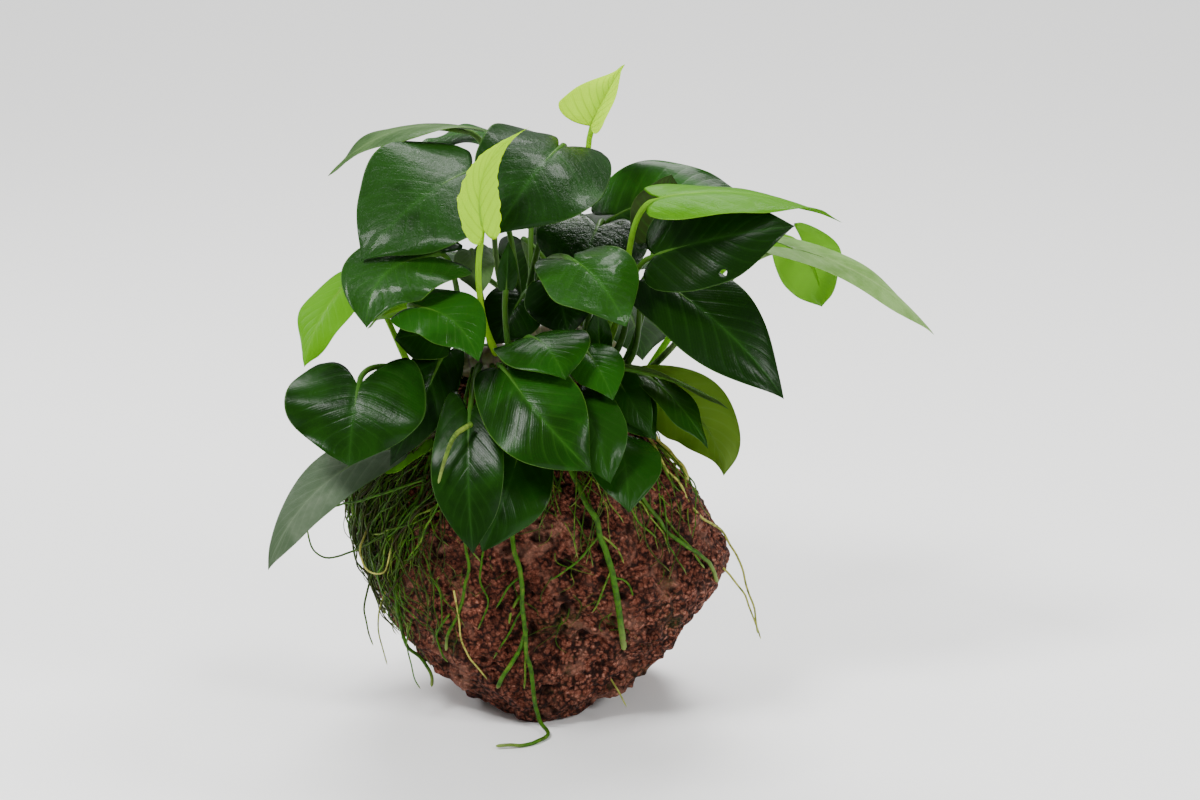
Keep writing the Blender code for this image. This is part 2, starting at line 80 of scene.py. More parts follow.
def cellDistance(places, salt=0):
    # distance to the nearest of one random point in each cell, over the 27 cells around
    cell = np.floor(places)
    best = np.full(places.shape[:-1], np.inf)
    for step in np.ndindex(3, 3, 3):
        near = cell + np.array(step) - 1
        shift = np.stack([lattice(near, salt + k) for k in range(3)], axis=-1)
        point = near + 0.5 + scatter["jitter"] * shift
        best = np.minimum(best, np.linalg.norm(point - places, axis=-1))
    return best


def smoothPath(points, spacing):
    # Catmull-Rom: 0.5 (2b + (c - a) f + (2a - 5b + 4c - d) f^2 + (3b - a - 3c + d) f^3)
    points = np.asarray(points, float)
    count = max(3, int(round(travelled(points)[-1] / spacing)) + 1)
    steps = np.linspace(0, len(points) - 1, count)
    index = np.minimum(steps.astype(int), len(points) - 2)
    f = (steps - index)[:, None]
    a, b = points[np.maximum(index - 1, 0)], points[index]
    c, d = points[index + 1], points[np.minimum(index + 2, len(points) - 1)]
    square, cube = 2 * a - 5 * b + 4 * c - d, 3 * b - a - 3 * c + d
    return 0.5 * (2 * b + (c - a) * f + square * f**2 + cube * f**3)


def gridFaces(rows, columns, wrap=False):
    # each cell of a rows x columns grid as the corners (i, j), (i, j+1), (i+1, j+1), (i+1, j)
    cells = columns if wrap else columns - 1
    i, j = np.meshgrid(np.arange(rows - 1), np.arange(cells), indexing="ij")
    after = (j + 1) % columns
    return np.stack([i * columns + j, i * columns + after, (i + 1) * columns + after,
                     (i + 1) * columns + j], axis=-1).reshape(-1, 4)


def pipe(path, radii, sides):
    # point + radius (cos angle across + sin angle up), across and up square to the path there
    run = unit(np.gradient(path, axis=0))
    steady = np.eye(3)[np.abs(run).max(axis=0).argmin()]
    across = unit(np.cross(run, steady))
    up = np.cross(across, run)
    angle = np.linspace(0, 2 * np.pi, sides, endpoint=False)[None, :, None]
    ring = np.cos(angle) * across[:, None] + np.sin(angle) * up[:, None]
    places = (path[:, None] + ring * np.asarray(radii)[:, None, None]).reshape(-1, 3)
    quads = gridFaces(len(path), sides, wrap=True)
    last = (len(path) - 1) * sides
    ends = [list(range(sides)), list(range(last + sides - 1, last - 1, -1))]
    return places, quads[:, ::-1], ends


def signedVolume(places, quads):
    # a sixth of the sum of a . (b x c) over the two triangles of each quad, from the middle
    a, b, c, d = (places[quads[:, k]] - places.mean(axis=0) for k in range(4))
    return (np.sum(a * np.cross(b, c)) + np.sum(a * np.cross(c, d))) / 6


def makePiece(name, shells, material, node, slot, uv=None, **values):
    # shells: (places in mm, quads, other faces), each closed and turned to a volume above 0;
    # values: one number per corner for the material
    places, quads, others, offset = [], [], [], 0
    for shellPlaces, shellQuads, shellOthers in shells:
        turn = 1 if signedVolume(shellPlaces, shellQuads) > 0 else -1
        places.append(shellPlaces)
        quads.append(shellQuads[:, ::turn] + offset)
        others += [[corner + offset for corner in face[::turn]] for face in shellOthers]
        offset += len(shellPlaces)
    mesh = bpy.data.meshes.new(name)
    faces = np.concatenate(quads).tolist() + others
    mesh.from_pydata((np.concatenate(places) * mm).tolist(), [], faces)
    mesh.shade_smooth()
    if uv is not None:
        corners = np.empty(len(mesh.loops), np.int32)
        mesh.loops.foreach_get("vertex_index", corners)
        mesh.uv_layers.new(name="leafMap").data.foreach_set("uv", uv[corners].ravel())
    for key, numbers in values.items():
        stored = mesh.attributes.new(key, "FLOAT", "POINT")
        stored.data.foreach_set("value", np.asarray(numbers, np.float32))
    mesh.materials.append(material)
    piece = bpy.data.objects.new(name, mesh)
    bpy.context.scene.collection.objects.link(piece)
    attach(piece, "root")
    if node:
        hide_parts(node)


class Wire:
    # stands for one socket; arithmetic on it adds Math nodes to its material
    def __init__(self, tree, socket=None):
        self.tree, self.socket = tree, socket

    def make(self, kind, settings=None, inputs=None, output=0):
        # any node: its settings first, then a value or a link for each input
        node = self.tree.nodes.new(kind)
        for key, value in (settings or {}).items():
            if key == "stops":
                stops = node.color_ramp.elements
                while len(stops) < len(value):
                    stops.new(0.5)
                for stop, (position, colour) in zip(stops, value):
                    stop.position, stop.color = position, (*colour, 1.0)
            else:
                setattr(node, key, value)
        for key, value in (inputs or {}).items():
            if isinstance(value, Wire):
                self.tree.links.new(value.socket, node.inputs[key])
            else:
                node.inputs[key].default_value = value
        return Wire(self.tree, node.outputs[output])

    def maths(self, operation, *values):
        # one Math node on this socket and what follows
        return self.make("ShaderNodeMath", {"operation": operation},
                         dict(enumerate((self, *values))))

    def __add__(self, other):
        return self.maths("ADD", other)

    def __mul__(self, other):
        return self.maths("MULTIPLY", other)

    def __sub__(self, other):
        return self.maths("SUBTRACT", other)

    def __pow__(self, other):
        return self.maths("POWER", other)

    __radd__, __rmul__ = __add__, __mul__

    def __rsub__(self, other):
        # other - this, so the two inputs change places
        return self.make("ShaderNodeMath", {"operation": "SUBTRACT"}, {0: other, 1: self})

    def between(self, low, high, first=0.0, last=1.0):
        # first below low, last above high, eased between
        return self.make("ShaderNodeMapRange", {"interpolation_type": "SMOOTHSTEP"},
                         {0: self, 1: low, 2: high, 3: first, 4: last})

    def tint(self, first, second):
        # first where this is 0, second where it is 1; a plain colour gets its alpha here
        first, second = (part if isinstance(part, Wire) else (*part, 1.0)
                         for part in (first, second))
        return self.make("ShaderNodeMix", {"data_type": "RGBA"},
                         {0: self, 6: first, 7: second}, output=2)

    def noise(self, scale, detail=3.0, rough=0.55, bend=0.0, output=0):
        # noise at this place: its value, or its colour with output 1
        return self.make("ShaderNodeTexNoise", {}, {
            "Vector": self, "Scale": scale, "Detail": detail, "Roughness": rough,
            "Distortion": bend}, output)

    def flakes(self, scale, output=0):
        # distance to the nearest random point, or with output 1 that point's own colour
        return self.make("ShaderNodeTexVoronoi", {}, {"Vector": self, "Scale": scale}, output)

    def stored(self, name):
        # the numbers that makePiece stored on the mesh under this name
        return self.make("ShaderNodeAttribute", {"attribute_name": name}, output=2)

    def ramp(self, *stops):
        # this value as a colour, even between the stops
        return self.make("ShaderNodeValToRGB", {"stops": stops}, {0: self})

    def bump(self, strength, distance):
        # this height as a tilt of the normal
        return self.make("ShaderNodeBump", {}, {
            "Height": self, "Strength": strength, "Distance": distance})


def newMaterial(name, **fixed):
    # a Principled material with its unchanging numbers set straight on the shader
    material = bpy.data.materials.new(name)
    material.use_nodes = True
    shader = material.node_tree.nodes["Principled BSDF"]
    for key, value in fixed.items():
        shader.inputs[key.replace("_", " ")].default_value = value
    start = Wire(material.node_tree)
    return material, shader, start, start.make("ShaderNodeTexCoord", output=3)


def feed(shader, **wires):
    # links each wire to the shader's input of that name
    for key, wire in wires.items():
        wire.tree.links.new(wire.socket, shader.inputs[key.replace("_", " ")])


stone = dict(
    middle=(0, 2, 66), axes=(72, 55, 70), power=2.3,
    bumps=(                   # direction, height, spread
        ((0.8, 0, 0.6), -19, 0.42), ((-0.93, 0, 0.37), 8, 0.3),
        ((-0.75, 0, -0.66), -9, 0.34), ((0.72, 0, -0.69), -8, 0.3),
        ((0.79, -0.38, 0.48), 6, 0.16), ((0.99, -0.1, -0.1), 7, 0.2),
        ((0.1, -0.95, 0.1), 4, 0.35), ((0.35, -0.8, -0.5), -4, 0.25),
        ((-0.12, -0.55, -0.83), 7, 0.3), ((-0.45, -0.75, 0.45), -4, 0.25),
        ((-0.3, 0.9, 0.3), 5, 0.3), ((0.5, 0.8, -0.2), -5, 0.3),
        ((0.05, -0.12, 0.99), 9, 0.5), ((0, 0.5, -0.86), 5, 0.3),
        ((-0.85, 0.5, -0.2), -4, 0.25)),
    waves=(                   # vector, phase, height
        ((3.1, 1.7, 2.2), 0.4, 1.3), ((4.3, -3.4, 2.9), 1.9, 1), ((-2.7, 5.2, 4.4), 3.3, 0.9),
        ((6.1, 4.7, -5.6), 5, 0.6), ((-7.9, 3.3, 6.7), 2.4, 0.45), ((5.2, -8.8, 7.1), 0.9, 0.4)),
    cells=127,                # along each edge of the cube it is rounded from
    lumps=(19, 2.2), clods=(8, 1.9), crumbs=(3.4, 1.45), grit=(1.6, 0.5),   # size, height, mm
    askew=((0.8, 0.48, 0.36), (-0.6, 0.64, 0.48), (0, -0.6, 0.8)),   # turns them off the axes
    warp=(4.5, 2.4),          # size and reach of what bends them
    pits=(9.5, 3, 0.34), pores=(3.3, 1.9, 0.36),      # spacing, depth, reach of two kinds of hole
    # fullPit and highGround: the hole depth that gives the full painted shade in the holes, and
    # how much raised ground takes it off
    holeWarp=(2.5, 0.25), holeArea=(26, 1.6, 0.5), holeSides=0.7, fullPit=1.9, highGround=0.2)
stoneLook = dict(
    dark=(0.0085, 0.0022, 0.0012), brick=(0.095, 0.023, 0.011), rust=(0.26, 0.08, 0.048),
    ash=(0.62, 0.28, 0.19), moss=(0.03, 0.048, 0.006), specular=0.12, rough=0.5, bump=0.0022,
    grain=620, dust=1700, flakes=560, flakeBend=0.0022, gaps=0.92, shadows=0.55, bleached=0.3,
    # pits here: how dark the painted shade in the stone's holes gets at most
    pits=0.85, mossy=0.7)     # sizes of the grains, and how strong each cover is at most


def stoneRadius(directions):
    # (sum |d / axis|^p)^(-1/p), raised by a bell round each bump and a sine for each wave
    scaled = np.abs(directions / np.array(stone["axes"])) ** stone["power"]
    radius = scaled.sum(axis=-1) ** (-1 / stone["power"])
    for direction, height, spread in stone["bumps"]:
        apart = 2 - 2 * (directions @ unit(direction))
        radius = radius + height * np.exp(-apart / (2 * spread**2))
    for wave, phase, height in stone["waves"]:
        radius = radius + height * np.sin(directions @ np.array(wave) + phase)
    return radius


def stonePlace(turn, rise, lift):
    # middle + direction * (radius + lift), the direction from degrees round and degrees up
    turn, rise = np.radians(turn), np.radians(rise)
    direction = np.stack([np.cos(rise) * np.sin(turn), -np.cos(rise) * np.cos(turn),
                          np.sin(rise)], axis=-1)
    return np.array(stone["middle"]) + direction * (stoneRadius(direction) + lift)[..., None]


def stoneMaterial():
    # a ramp over summed noises and flakes, then dark gaps, shadows, bleached spots, painted shade
    # in the pits and moss, each laid over by its own mask
    look = stoneLook
    material, shader, start, spot = newMaterial("lavaStone", Specular_IOR_Level=look["specular"])
    patch, mottle = spot.noise(14, 4), spot.noise(150, 5, 0.7, 0.8)
    grain, dust = spot.noise(look["grain"], 4, 0.75, 2.2), spot.noise(look["dust"], 3, 0.7, 1)
    swirl = spot.noise(500, 3, 0.5, output=1)
    bent = spot.make("ShaderNodeVectorMath", {"operation": "MULTIPLY_ADD"},
                     {0: swirl, 1: (look["flakeBend"],) * 3, 2: spot})
    flake, shade = bent.flakes(look["flakes"]), bent.flakes(look["flakes"], output=1)
    mixed = mottle * 0.27 + grain * 0.37 + dust * 0.12 + patch * 0.12 + shade * 0.07
    colour = (mixed - flake * 0.11 + 0.075).ramp(
        (0.41, look["dark"]), (0.47, look["brick"]), (0.545, look["rust"]), (0.63, look["ash"]))
    gap = flake * 0.75 + grain * 0.5 + mottle * 0.9 + patch * 0.5
    # painted shade: darker the deeper the stone's holes, by the stored depth of each hole
    pit = start.stored("pit") + grain * 0.8 - 0.4
    moss = spot.noise(34, 4, 0.6, 0.4) * 0.6 + grain * 0.4
    for mask, tone in (
            (gap.between(1.27, 1.56, 0, look["gaps"]), "dark"),
            (spot.noise(70, 4, 0.65, 1.2).between(0.5, 0.66, 0, look["shadows"]), "dark"),
            (spot.noise(48, 4, 0.6, 0.8).between(0.52, 0.68, 0, look["bleached"]) * grain * 2,
             "ash"),
            (pit.between(0.3, 1, 0, look["pits"]), "dark"),
            (moss.between(0.57, 0.66, 0, look["mossy"]), "moss")):
        colour = mask.tint(colour, look[tone])
    height = grain * 0.5 + dust * 0.3 + mottle * 0.3 + shade * 0.22 - flake * 0.9
    feed(shader, Base_Color=colour, Roughness=(1 - grain) * 0.35 + look["rough"],
         Normal=height.bump(1, look["bump"]))
    return material


def buildStone():
    # a cube's six faces, each cell line at tan(angle), pushed out to the stone's radius; the
    # roughness takes off depth * (1 - distance / reach)^sides where a hole's point is near
    n = stone["cells"] + 1
    line = np.tan(np.linspace(-np.pi / 4, np.pi / 4, n))
    a, b = np.meshgrid(line, line, indexing="ij")
    one = np.ones_like(a)
    sides = [(one, a, b), (-one, b, a), (b, one, a), (a, -one, b), (a, b, one), (b, a, -one)]
    cube = np.concatenate([np.stack(side, axis=-1).reshape(-1, 3) for side in sides])
    quads = np.concatenate([gridFaces(n, n) + k * n * n for k in range(6)])
    _, first, same = np.unique(np.round(cube * 1e6).astype(np.int64), axis=0,
                               return_index=True, return_inverse=True)
    quads = same.reshape(-1)[quads]
    direction = unit(cube[first])
    base = np.array(stone["middle"]) + direction * stoneRadius(direction)[:, None]
    size, reach = stone["warp"]
    bent = base @ np.array(stone["askew"]) + reach * softShift(base / size, 40)
    rise = np.zeros(len(base))
    for salt, key in enumerate(("lumps", "clods", "crumbs", "grit")):
        size, height = stone[key]
        rise += height * softNoise(bent / size, salt)
    warpSize, warpReach = stone["holeWarp"]
    areaSize, areaGain, areaShift = stone["holeArea"]
    depth = np.zeros(len(base))
    for salt, key in enumerate(("pits", "pores")):
        size, deep, reach = stone[key]
        shaped = base / size + warpReach * softShift(base / warpSize, 5)
        chosen = softNoise(base / areaSize + 3, 9 + salt) * areaGain + areaShift
        near = np.clip(1 - cellDistance(shaped, 20 + salt) / reach, 0, 1)
        depth += deep * np.clip(chosen, 0, 1) * near ** stone["holeSides"]
    places = base + direction * (rise - depth)[:, None]
    places[:, 2] = np.maximum(places[:, 2], 0)
    # painted shade for the material: each hole's depth over fullPit, less on raised ground
    pit = np.clip(depth / stone["fullPit"] - rise * stone["highGround"], 0, 1)
    makePiece("stoneSurface", [(places, quads, [])], stoneMaterial(), "stone", "stone", pit=pit)
    print("stone", len(places), "corners")


rhizome = dict(
    paths=dict(
        main=((-52, -10, 132), (-36, -15, 141), (-14, -19, 146.5), (8, -18, 147),
              (25, -13, 141), (39, -7, 131)),
        back=((-10, -13.6, 149.3), (-9.5, -6, 150.5), (-5, 3, 150), (5, 10.5, 148.5),
              (17, 15, 144), (28, 18, 137))),
    footSpacing=3,          # of the coarser path that the stalks' feet are measured along
    spacing=0.8, radius=5.5, scarEvery=4.6, scarDepth=0.45, scarEdge=12, scarDrift=(4, 0.6),
    swell=(5, 0.35), skinGrain=(2.2, 0.3), endRound=3.5, endLeast=0.98, sides=28,
    skin=(0.085, 0.105, 0.028), bark=(0.11, 0.062, 0.028), scar=(0.035, 0.024, 0.012),
    bump=0.0006, rough=0.4, coat=0.25, coatRough=0.2)


def growFoot(name, share, roll, gap):
    # point + (radius + gap) (cos roll up - sin roll front), at a share of the rhizome's length
    path = smoothPath(rhizome["paths"][name], rhizome["footSpacing"])
    lengths = travelled(path)
    target = share * lengths[-1]
    place = np.array([np.interp(target, lengths, path[:, axis]) for axis in range(3)])
    index = max(min(int(np.searchsorted(lengths, target)), len(path) - 1), 1)
    along = unit(path[index] - path[index - 1])
    front = unit(np.cross(along, (0, 0, 1)))
    roll = np.radians(roll)
    out = np.cross(front, along) * np.cos(roll) - front * np.sin(roll)
    return place + out * (rhizome["radius"] + gap), out


def rhizomeMaterial():
    # green skin to brown bark by a noise, darkened where the stored scar is strong
    look = rhizome
    material, shader, start, spot = newMaterial(
        "rhizomeSkin", Coat_Weight=look["coat"], Coat_Roughness=look["coatRough"])
    mottle = spot.noise(140, 5, 0.6, 0.5)
    colour = mottle.between(0.42, 0.62).tint(look["skin"], look["bark"])
    colour = start.stored("scar").between(0.35, 0.95).tint(colour, look["scar"])
    height = mottle * 0.6 + spot.noise(700) * 0.3
    feed(shader, Base_Color=colour, Roughness=mottle * 0.3 + look["rough"],
         Normal=height.bump(0.6, look["bump"]))
    return material


def buildRhizomes():
    # a tube of radius (r + swell noise - depth cos^12) sqrt(1 - (1 - end / round)^2)
    material, sides = rhizomeMaterial(), rhizome["sides"]
    driftSize, drift = rhizome["scarDrift"]
    swellSize, swell = rhizome["swell"]
    grainSize, grain = rhizome["skinGrain"]
    for name, points in rhizome["paths"].items():
        path = smoothPath(points, rhizome["spacing"])
        length = travelled(path)
        phase = np.pi * length / rhizome["scarEvery"] + drift * softNoise(path / driftSize, 2)
        scar = np.cos(phase) ** rhizome["scarEdge"]
        end = np.minimum(length, length[-1] - length)
        left = np.clip(1 - end / rhizome["endRound"], 0, rhizome["endLeast"])
        radii = rhizome["radius"] + swell * softNoise(path / swellSize, 3)
        radii = (radii - rhizome["scarDepth"] * scar) * np.sqrt(1 - left**2)
        places, quads, ends = pipe(path, radii, sides)
        out = unit(places - np.repeat(path, sides, 0))
        places += out * grain * softNoise(places / grainSize, 4)[:, None]
        makePiece("rhizome_" + name + "_skin", [(places, quads, ends)], material,
                  "rhizome_" + name, "rhizome", scar=np.repeat(scar, sides))
    print("rhizomes", len(rhizome["paths"]))


leafForm = dict(arch=0.1, sway=0, fold=0, cup=0, lobe=0.2, neck=0.5, wide=0.33,
                taper=2, point=1.15, twist=0, hook=0.3)
leafCut = dict(
    rows=66, columns=41, even=0.6, rimEase=0.86, tipEnd=0.9985,    # how the grid is spaced
    halfThick=0.3, baseEdge=14, tipEdge=8, rimSide=0.75,
    lobeEnd=0.6, droop=-0.05, lateFrom=8,
    margin=(5, 0.025), tears=30,           # how often and how far the half width varies
    wave=0.032, waves=(1.6, 0.4), waveTurn=6.28, halfShift=1.7,
    wander=0.11, wanderSize=(2.6, 1.3, 3.7), wanderMiddle=0.6,
    groove=0.4, grooveWidth=1.1, quilt=0.06, quiltWidth=12, veins=8.5, veinLean=0.34,
    veinCurve=0.85, veinOffset=0.3,
    holeCells=3, holeFade=(7, 4),          # cells from a hole's middle to its edge
    stalk=1.15, swell=0.35, arrive=(0.8, 0.6), stop=3, leave=0.4, stalkRings=26, stalkSides=12,
    ribRings=16, ribStart=0.05, ribEnd=0.62, ribPower=0.8, ribTip=0.12, ribDepth=(0.35, 0.55),
    footSunk=-0.4)

# name, age, foot (rhizome, share of its length, roll), blade base, tip, facing, width, and
# what differs from leafForm
leaves = (
    ("back_left_arching", "mature", ("back", 0.28, 50), (-35, 37, 227), (-86, 13, 212),
     (-0.28, -0.08, 0.96), 36, dict(arch=0.13)),
    ("back_left_upper", "mature", ("back", 0.46, 60), (-14, 62, 217), (-52, 52, 216),
     (-0.1, -0.03, 1), 36, dict(hook=0.2)),
    ("left_round", "old", ("back", 0.14, 0), (-29, 1, 217), (-70, -34, 189),
     (-0.3, -0.8, 0.5), 60, dict(arch=0.12)),
    ("top_wet", "old", ("back", 0.23, 0), (6, -8, 228), (-18, -42, 201),
     (0.05, -0.8, 0.6), 52, dict(arch=0.15, lobe=0.3)),
    ("young_front", "young", ("main", 0.38, -50), (-22, -56, 206), (-4, -46, 244),
     (-0.25, -0.9, 0.3), 18, dict(arch=0.04, fold=0.15, wide=0.22, taper=1.3, point=1.7,
      lobe=0.08, sway=-0.2, neck=0.4)),
    ("young_back", "young", ("back", 0.5, 0), (18, 25, 230), (32, 30, 254),
     (-0.65, -0.65, 0.25), 28, dict(arch=0.03, fold=0.6, wide=0.14, taper=1.15, point=1,
      lobe=0.05)),
    ("left_upper_wet", "mature", ("main", 0.27, 0), (-43, -30, 190), (-67, -52, 167),
     (-0.25, -0.75, 0.6), 40, dict(arch=0.12, sway=0.18, lobe=0.25)),
    ("left_bright", "fresh", ("main", 0.03, 0), (-78, -12, 174), (-93, -32, 146),
     (-0.6, -0.7, 0.35), 26),
    ("left_small", "mature", ("main", 0.31, -50), (-48, -46, 174), (-24, -64, 157),
     (0.1, -0.6, 0.78), 29, dict(arch=0.12, sway=-0.1)),
    ("left_big", "old", ("main", 0.05, -50), (-71, -48, 143), (-74, -62, 115),
     (-0.1, -0.85, 0.5), 54, dict(lobe=0.42, neck=0.6)),
    ("left_inner", "old", ("main", 0.24, -50), (-40, -32, 149), (-59, -52, 112),
     (0.25, -0.85, 0.45), 22, dict(arch=0.12)),
    ("left_low", "old", ("main", 0.03, -95), (-65, -36, 113), (-108, -45, 67),
     (-0.3, -0.6, 0.74), 25, dict(sway=0.06, lobe=0.15, hook=0.6)),
    ("left_tuck", "fresh", ("main", 0.08, -85), (-49, -31, 118), (-67, -23, 100),
     (-0.2, -0.6, 0.7), 20, dict(hook=0.25, neck=0.6)),
    ("front_main", "mature", ("main", 0.41, -95), (-14, -54, 151), (19, -82, 119),
     (0.05, -0.85, 0.5), 38, dict(arch=0.12, lobe=0.14, neck=0.45, wide=0.45, sway=0.05)),
    ("front_low", "old", ("main", 0.31, -95), (-28, -58, 134), (-26, -84, 87),
     (-0.15, -0.95, 0.3), 28, dict(wide=0.45)),
    ("front_low_right", "old", ("main", 0.46, -95), (-8, -50, 122), (-23, -76, 85),
     (0.25, -0.9, 0.3), 33, dict(wide=0.4)),
    ("front_right", "old", ("main", 0.6, -85), (14, -52, 141), (26, -78, 113),
     (0.15, -0.9, 0.35), 26, dict(wide=0.45)),
    ("right_low", "old", ("main", 0.86, -115), (29, -47, 123), (33, -80, 102),
     (0.2, -0.9, 0.4), 31, dict(lobe=0.1)),
    ("right_mid", "mature", ("main", 0.64, -95), (17, -42, 155), (27, -58, 140),
     (0.2, -0.75, 0.6), 22),
    ("right_dark_small", "old", ("main", 0.68, -105), (28, -28, 141), (42, -41, 120),
     (0.1, -0.9, 0.4), 16, dict(hook=0.45)),
    ("right_tuck", "mature", ("main", 0.79, -95), (28, -29, 136), (44, -38, 118),
     (0.3, -0.8, 0.5), 20),
    ("right_see_through", "fresh", ("main", 0.95, -95), (46, -14, 130), (71, -20, 98),
     (0.3, 0.85, 0.45), 39, dict(arch=0.06, sway=0.16)),
    ("right_edge", "mature", ("main", 0.74, -75), (27, -38, 149), (72, -43, 132),
     (-0.35, 0.3, 0.88), 18, dict(arch=0.06, hook=0.75)),
    ("right_dark", "old", ("main", 0.86, -50), (44, -26, 180), (93, -46, 137),
     (0.3, -0.7, 0.65), 38, dict(lobe=0.1, neck=0.45, hook=0.25)),
    ("right_upper", "old", ("main", 0.81, -30), (43, -32, 191), (96, -48, 206),
     (0.05, -0.85, 0.5), 38, dict(arch=0.08, lobe=0.08, neck=0.4, hook=0.5)),
    ("back_right", "mature", ("back", 0.68, 0), (29, 16, 196), (78, 22, 204),
     (0, -0.5, 0.85), 46),
    ("back_right_inner", "old", ("main", 0.88, 10), (44, -7, 193), (50, -6, 217),
     (0, 0.9, 0.2), 24, dict(hook=0.2)),
    ("right_top_fresh", "fresh", ("main", 0.78, -10), (45, -38, 215), (115, -34, 204),
     (0, -0.2, 0.98), 34, dict(arch=0.09, cup=-0.15, lobe=0.08, wide=0.25, taper=1.4, point=1.2,
      twist=18, hook=0.2)),
    ("right_light", "fresh", ("main", 0.98, 0), (104, 10, 182), (110, 0, 162),
     (0.4, 0.75, 0.5), 36, dict(lobe=0.5, neck=0.4)),
    ("far_right", "mature", ("main", 0.95, -40), (98, -18, 190), (154, -10, 153),
     (0.45, -0.15, 0.88), 26, dict(arch=0.08)),
    ("centre_wet", "old", ("main", 0.69, 0), (21, -1, 195), (13, -17, 174),
     (0, -0.6, 0.8), 44, dict(lobe=0.25)),
    ("centre_front", "mature", ("back", 0.36, 10), (12, -37, 190), (32, -58, 169),
     (0.1, -0.6, 0.8), 38, dict(arch=0.15)),
    ("centre_under", "old", ("main", 0.6, 0), (5, -20, 176), (10, -31, 158),
     (0, -0.8, 0.55), 28),
    ("rolled_bud", "mature", ("main", 0.43, -60), (-14, -40, 179), (-13, -40, 198),
     (0.1, -0.95, 0.1), 8, dict(arch=0.02, fold=0.6, lobe=0)),
    ("centre_left_grey", "old", ("main", 0.36, 0), (-28, -15, 188), (-24, -35, 175),
     (0, -0.9, 0.4), 16),
    ("centre_left_dark", "old", ("main", 0.46, 0), (-9, -14, 169), (-19, -23, 153),
     (0, -0.8, 0.5), 24, dict(hook=0.6)),
    ("front_upper", "mature", ("main", 0.48, -50), (-4, -42, 161), (9, -68, 151),
     (0.1, -0.45, 0.88), 37, dict(arch=0.12)),
    ("left_mid_green", "mature", ("main", 0.19, -40), (-40, -29, 158), (-58, -28, 156),
     (-0.2, -0.6, 0.7), 24),
    ("left_underside", "fresh", ("main", 0.17, 0), (-52, -20, 168), (-68, -35, 162),
     (-0.3, 0.5, 0.8), 18),
    ("right_sprout", "mature", ("main", 0.71, -50), (22, -30, 152), (21, -32, 170),
     (0, -0.95, 0.1), 10, dict(arch=0.02)),
    ("right_narrow", "mature", ("main", 0.9, -75), (44, -28, 139), (64, -39, 115),
     (0.3, -0.3, 0.9), 18, dict(arch=0.06, hook=0.2)),
    ("rear_left", "old", ("back", 0.37, 50), (-34, 42, 172), (-62, 92, 150),
     (-0.2, 0.45, 0.87), 40),
    ("rear_middle", "old", ("back", 0.64, 50), (11, 55, 187), (13, 84, 164),
     (0, 0.6, 0.8), 44),
    ("rear_right", "old", ("back", 0.9, 50), (40, 44, 169), (70, 90, 142),
     (0.3, 0.5, 0.8), 40),
    ("rear_low_left", "mature", ("back", 0.8, 60), (-9, 52, 176), (-5, 64, 145),
     (0, 0.8, 0.6), 24),
    ("rear_low_right", "mature", ("back", 0.95, 75), (31, 42, 154), (40, 76, 119),
     (0.1, 0.7, 0.7), 40),
)
# what a few leaves have that the others don't: a look, a torn margin, a hole (t, u, radius)
leafOwn = {
    "top_wet": dict(look="wetOld"), "left_round": dict(look="wetDeep"),
    "young_front": dict(ragged=0.07), "right_upper": dict(hole=(0.5, 0.8, 1.5)),
    "left_upper_wet": dict(look="wetMature"), "centre_wet": dict(look="crinkled"),
    # far_right, left_low, back_left_arching and centre_left_grey take looks with a painted sheen
    # or glare in their colours
    "centre_front": dict(look="wetMature"), "far_right": dict(look="limeGrey"),
    "left_low": dict(look="greyed"), "back_left_arching": dict(look="pearly"),
    "centre_left_grey": dict(look="pearly"), "right_edge": dict(look="bronzed"),
    "right_narrow": dict(look="bronzed"), "back_right_inner": dict(look="bronzed"),
    # right_light and right_see_through take looks with painted light through the blade in their
    # underside colours
    "right_top_fresh": dict(look="wetFresh"), "right_light": dict(look="backlit"),
    "right_see_through": dict(look="backlitDark"),
}
leafLooks = {"old": dict(
    deep=(0.0036, 0.0185, 0.0014), top=(0.0076, 0.043, 0.0024), vein=(0.018, 0.08, 0.008),
    rim=(0.05, 0.13, 0.02), under=(0.012, 0.046, 0.006), stem=(0.05, 0.13, 0.012),
    veining=1, rough=0.23, coat=0.03, gloss=0.12, glow=0.08, glowColour=(0.06, 0.26, 0.01),
    crinkle=0.45)}
